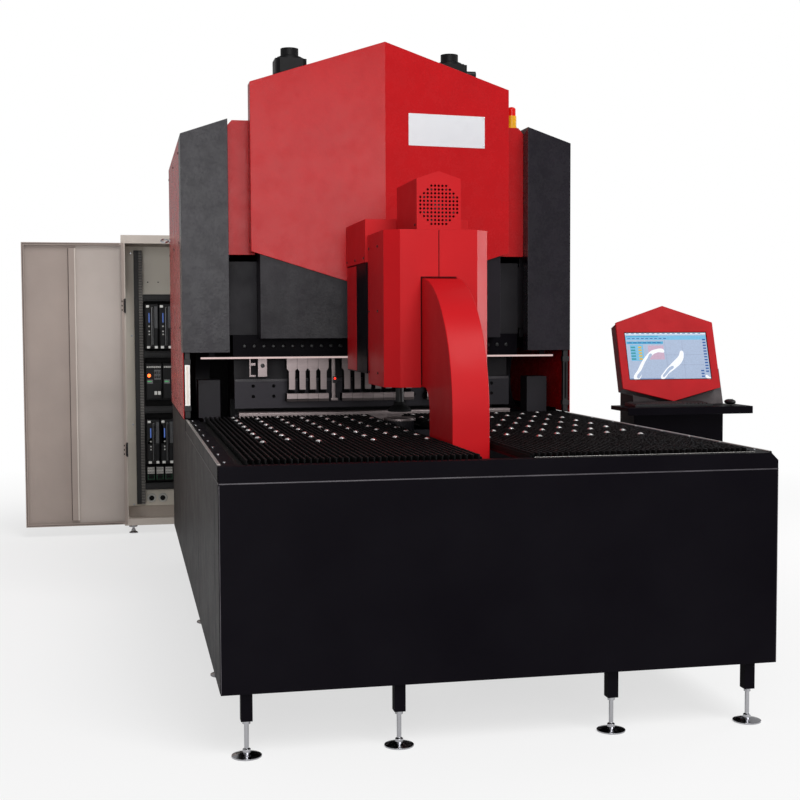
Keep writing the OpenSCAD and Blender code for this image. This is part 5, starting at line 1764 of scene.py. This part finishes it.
    def build_terminals(self) -> None:
        """Gives the terminal blocks their clamps, markers, and near-black discs that paint the shade in their
        screw holes.
        """
        self.fit("terminal_clamps", "device_white",
                 [box("clamp", (0.004 + k * 0.0127, -0.008, 0.052), (0.0155 + k * 0.0127, 0.001, 0.100), 0.0012)
                  for k in range(4)], 0)
        self.fit("terminal_feet", "terminal_green",
                 [box("foot", (0.004 + k * 0.0127, -0.008, 0.010), (0.0155 + k * 0.0127, 0.001, 0.044), 0.0012)
                  for k in range(4)], 0)
        # Near-black discs paint the shade inside the screw holes.
        hole = turned("hole", [(0.0034, 0.0), (0.0034, 0.0006), (0.0, 0.0006)], 10)
        holes = copies("holes", hole, [((0.00975 + k * 0.0127, -0.0078, z), FRONT) for k in range(4)
                                       for z in (0.064, 0.086, 0.028)])
        self.fit("terminal_hole_shade", "dark_seam_and_shade", [holes], 0)

    def build_duct_fingers(self) -> None:
        """Adds the snap covers and the fingers of the ducts."""
        (x0, x1), (z0, z1), (a, b), pitch = self.duct_x, self.duct_z, self.level_x, self.finger_pitch
        front, cover_y, back = self.duct_y, self.duct_y - 0.005, self.duct_y + 0.001
        tooth = box("duct_fingers", (x1 - 0.026, front - 0.0030, z0 + 0.004),
                    (x1 + 0.0018, front + 0.060, z0 + 0.0095), 0.0008, 1)
        spread(tooth, int((z1 - z0) / pitch), (0.0, 0.0, pitch))
        self.dress(tooth, "machine", "duct_grey", "plastic_black")
        # The black cover on the duct's left part stands for the cover and for painted shade on that side of the
        # duct.
        covers = [box("cover", (x0 + 0.001, cover_y, z0 + 0.002), (x1 - 0.028, back, z1 - 0.002), 0.0015)]
        for z in self.level_z:
            covers.append(box("cover", (a + 0.002, cover_y, z + 0.012), (b - 0.002, back, z + 0.038), 0.0015))
            for low, high in ((z + 0.001, z + 0.010), (z + 0.040, z + 0.049)):
                finger = box("finger", (a + 0.003, front - 0.002, low), (a + 0.009, back, high), 0.0006, 1)
                covers.append(spread(finger, int((b - a) / pitch) - 1, (pitch, 0.0, 0.0)))
        self.unite("duct_covers", covers, "plastic_black", "plastic_black")

    def build_plate_screws(self) -> None:
        """Sets the screws of the mounting plate and two near-black discs in its empty top that paint the shade
        inside two fixing holes.
        """
        places = [((x, self.plate_y, z), FRONT) for x in (-1.245, -0.615) for z in (0.16, 0.75, 1.40, 2.00)]
        self.scatter("plate_screws", button_screw(0.007, 0.003), places, "screw_zinc", "plate_paint")
        # Near-black discs paint the shade inside the holes.
        hole = turned("hole", [(0.0048, 0.0), (0.0048, 0.0005), (0.0, 0.0005)], 14)
        places = [((x, self.plate_y, 1.79), FRONT) for x in (-1.125, -1.05)]
        self.scatter("plate_hole_shade", hole, places, "dark_seam_and_shade", "plate_paint")

    def build_door_details(self) -> None:
        """Adds the slots beside the hinges in painted shade, the foam gasket, a painted shade strip along the
        rib's left edge, a painted highlight on the rib's fold and a lighter panel that paints the light on the
        door.
        """
        y, pitch, half_slot, half_leaf = self.door_y, 0.030, 0.006, 0.045
        slots = []
        # The slots are near-black: painted shade inside them.
        for middle in self.hinge_z:
            for z in (middle - pitch, middle, middle + pitch):
                slots.append(box("slot", (-1.3145, y - 0.0004, z - half_slot), (-1.3075, y + 0.001, z + half_slot),
                                 0.0003))
            slots.append(box("leaf", (-1.3010, y - 0.0022, middle - half_leaf),
                             (-1.2965, y + 0.001, middle + half_leaf), 0.0008))
        self.unite("hinge_slots", slots, "dark_seam_and_shade", "pebble_paint", "door")
        low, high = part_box("cabinet_door")
        width, rib_half, end, edge = 0.006, 0.024, 0.032, 0.0004
        x0, x1, z0, z1 = self.door_x[0] + width, self.door_x[1] - 0.030, low.z + width, high.z - width
        rib_x0, rib_x1, pan_y = self.rib_x - rib_half, self.rib_x + rib_half, y + 0.0215
        front, back = y - 0.0006, y + 0.001
        foam = [box("foam", (x0, front, z0), (x0 + width, back, z1), edge),
                box("foam", (x0 + width, front, z0), (x1, back, z0 + width), edge),
                box("foam", (x0 + width, front, z1 - width), (x1, back, z1), edge),
                # This strip paints the shade along the rib's left edge.
                box("rib_edge_shade", (rib_x0 - width, pan_y - 0.0010, z0 + end), (rib_x0, pan_y, z1 - end), edge)]
        self.unite("door_gasket", foam, "gasket_grey", "pebble_paint", "door")
        # A strip in the lighter pebble paint paints the highlight on the rib's fold.
        fold = box("rib_fold_highlight", (rib_x1 - 0.009, y + 0.0033, z0 + end), (rib_x1, y + 0.0050, z1 - end), 0.0005)
        self.dress(fold, "door", "pebble_painted_lit", "pebble_paint")
        margin = end - 0.019
        # The panel right of the rib takes a lighter copy of the paint: painted light falling on that side.
        lit_panel = box("door_lit_panel", (rib_x1 + 0.001, pan_y - 0.0010, z0 + margin),
                    (self.door_x[1] - 0.004, pan_y + 0.0002, z1 - margin), edge)
        self.dress(lit_panel, "door", "pebble_lit_panel", "pebble_paint")

    def build_loom(self) -> None:
        """Straps a loom of leads along the mounting plate beside the upright duct."""
        x, y, step, first_z, tie_pitch = -1.1615, 2.985, (0.0026, 0.0052), 0.40, 0.145
        leads = []
        for k in range(4):
            deselect()
            bpy.ops.mesh.primitive_cylinder_add(vertices=8, radius=0.0032, depth=1.30, end_fill_type="NGON",
                                                location=(x + step[0] * k, y - step[1] * (k % 2), 0.990))
            leads.append(settle(bpy.context.object))
            round_edges(leads[-1], 0.0006, 1, 50.0)
        for z in (first_z + tie_pitch * i for i in range(9)):
            leads.append(box("tie", (-1.1660, 2.9745, z), (-1.1495, 2.9995, z + 0.004), 0.0008))
        self.unite("strapped_loom", leads, "plastic_black", "plastic_black")

    def build_shade_mat(self) -> None:
        """Lays a black rubber sheet behind the devices as painted shade and sets two cable glands in the plate
        below them.
        """
        (x0, x1), bottom, top, gland_z = self.level_x, self.level_z[0], self.level_z[-1], 0.205
        mat = box("shade_mat", (x0 + 0.002, self.plate_y - 0.0022, bottom), (x1, self.plate_y + 0.0005, top),
                  0.0008)
        self.dress(mat, "machine", "pad_rubber", "plastic_black")
        places = [((x0 + dx, self.plate_y, gland_z), FRONT) for dx in (0.045, 0.125)]
        gland = turned("gland", [(0.019, 0.0), (0.034, 0.0), (0.034, 0.008), (0.030, 0.014), (0.024, 0.016),
                                 (0.019, 0.010), (0.019, 0.0)], 24)
        self.scatter("cable_glands", gland, places, "device_white", "plastic_black")
        plug = turned("plug", [(0.0, 0.006), (0.0186, 0.006)], 24)
        self.scatter("gland_plugs", plug, places, "pad_rubber", "plastic_black")


def main() -> None:
    """Builds the studio and the sub-assemblies."""
    logging.basicConfig(level=logging.INFO, format="%(message)s")
    Studio().build()
    finishes = Finishes()
    for kind in (Worktable, Press, BendingUnit, Manipulator, Console, Cabinet):
        part = kind(finishes)
        part.build()
        LOG.info("%s is dressed", type(part).__name__)
    deselect()


if __name__ == "__main__":
    main()
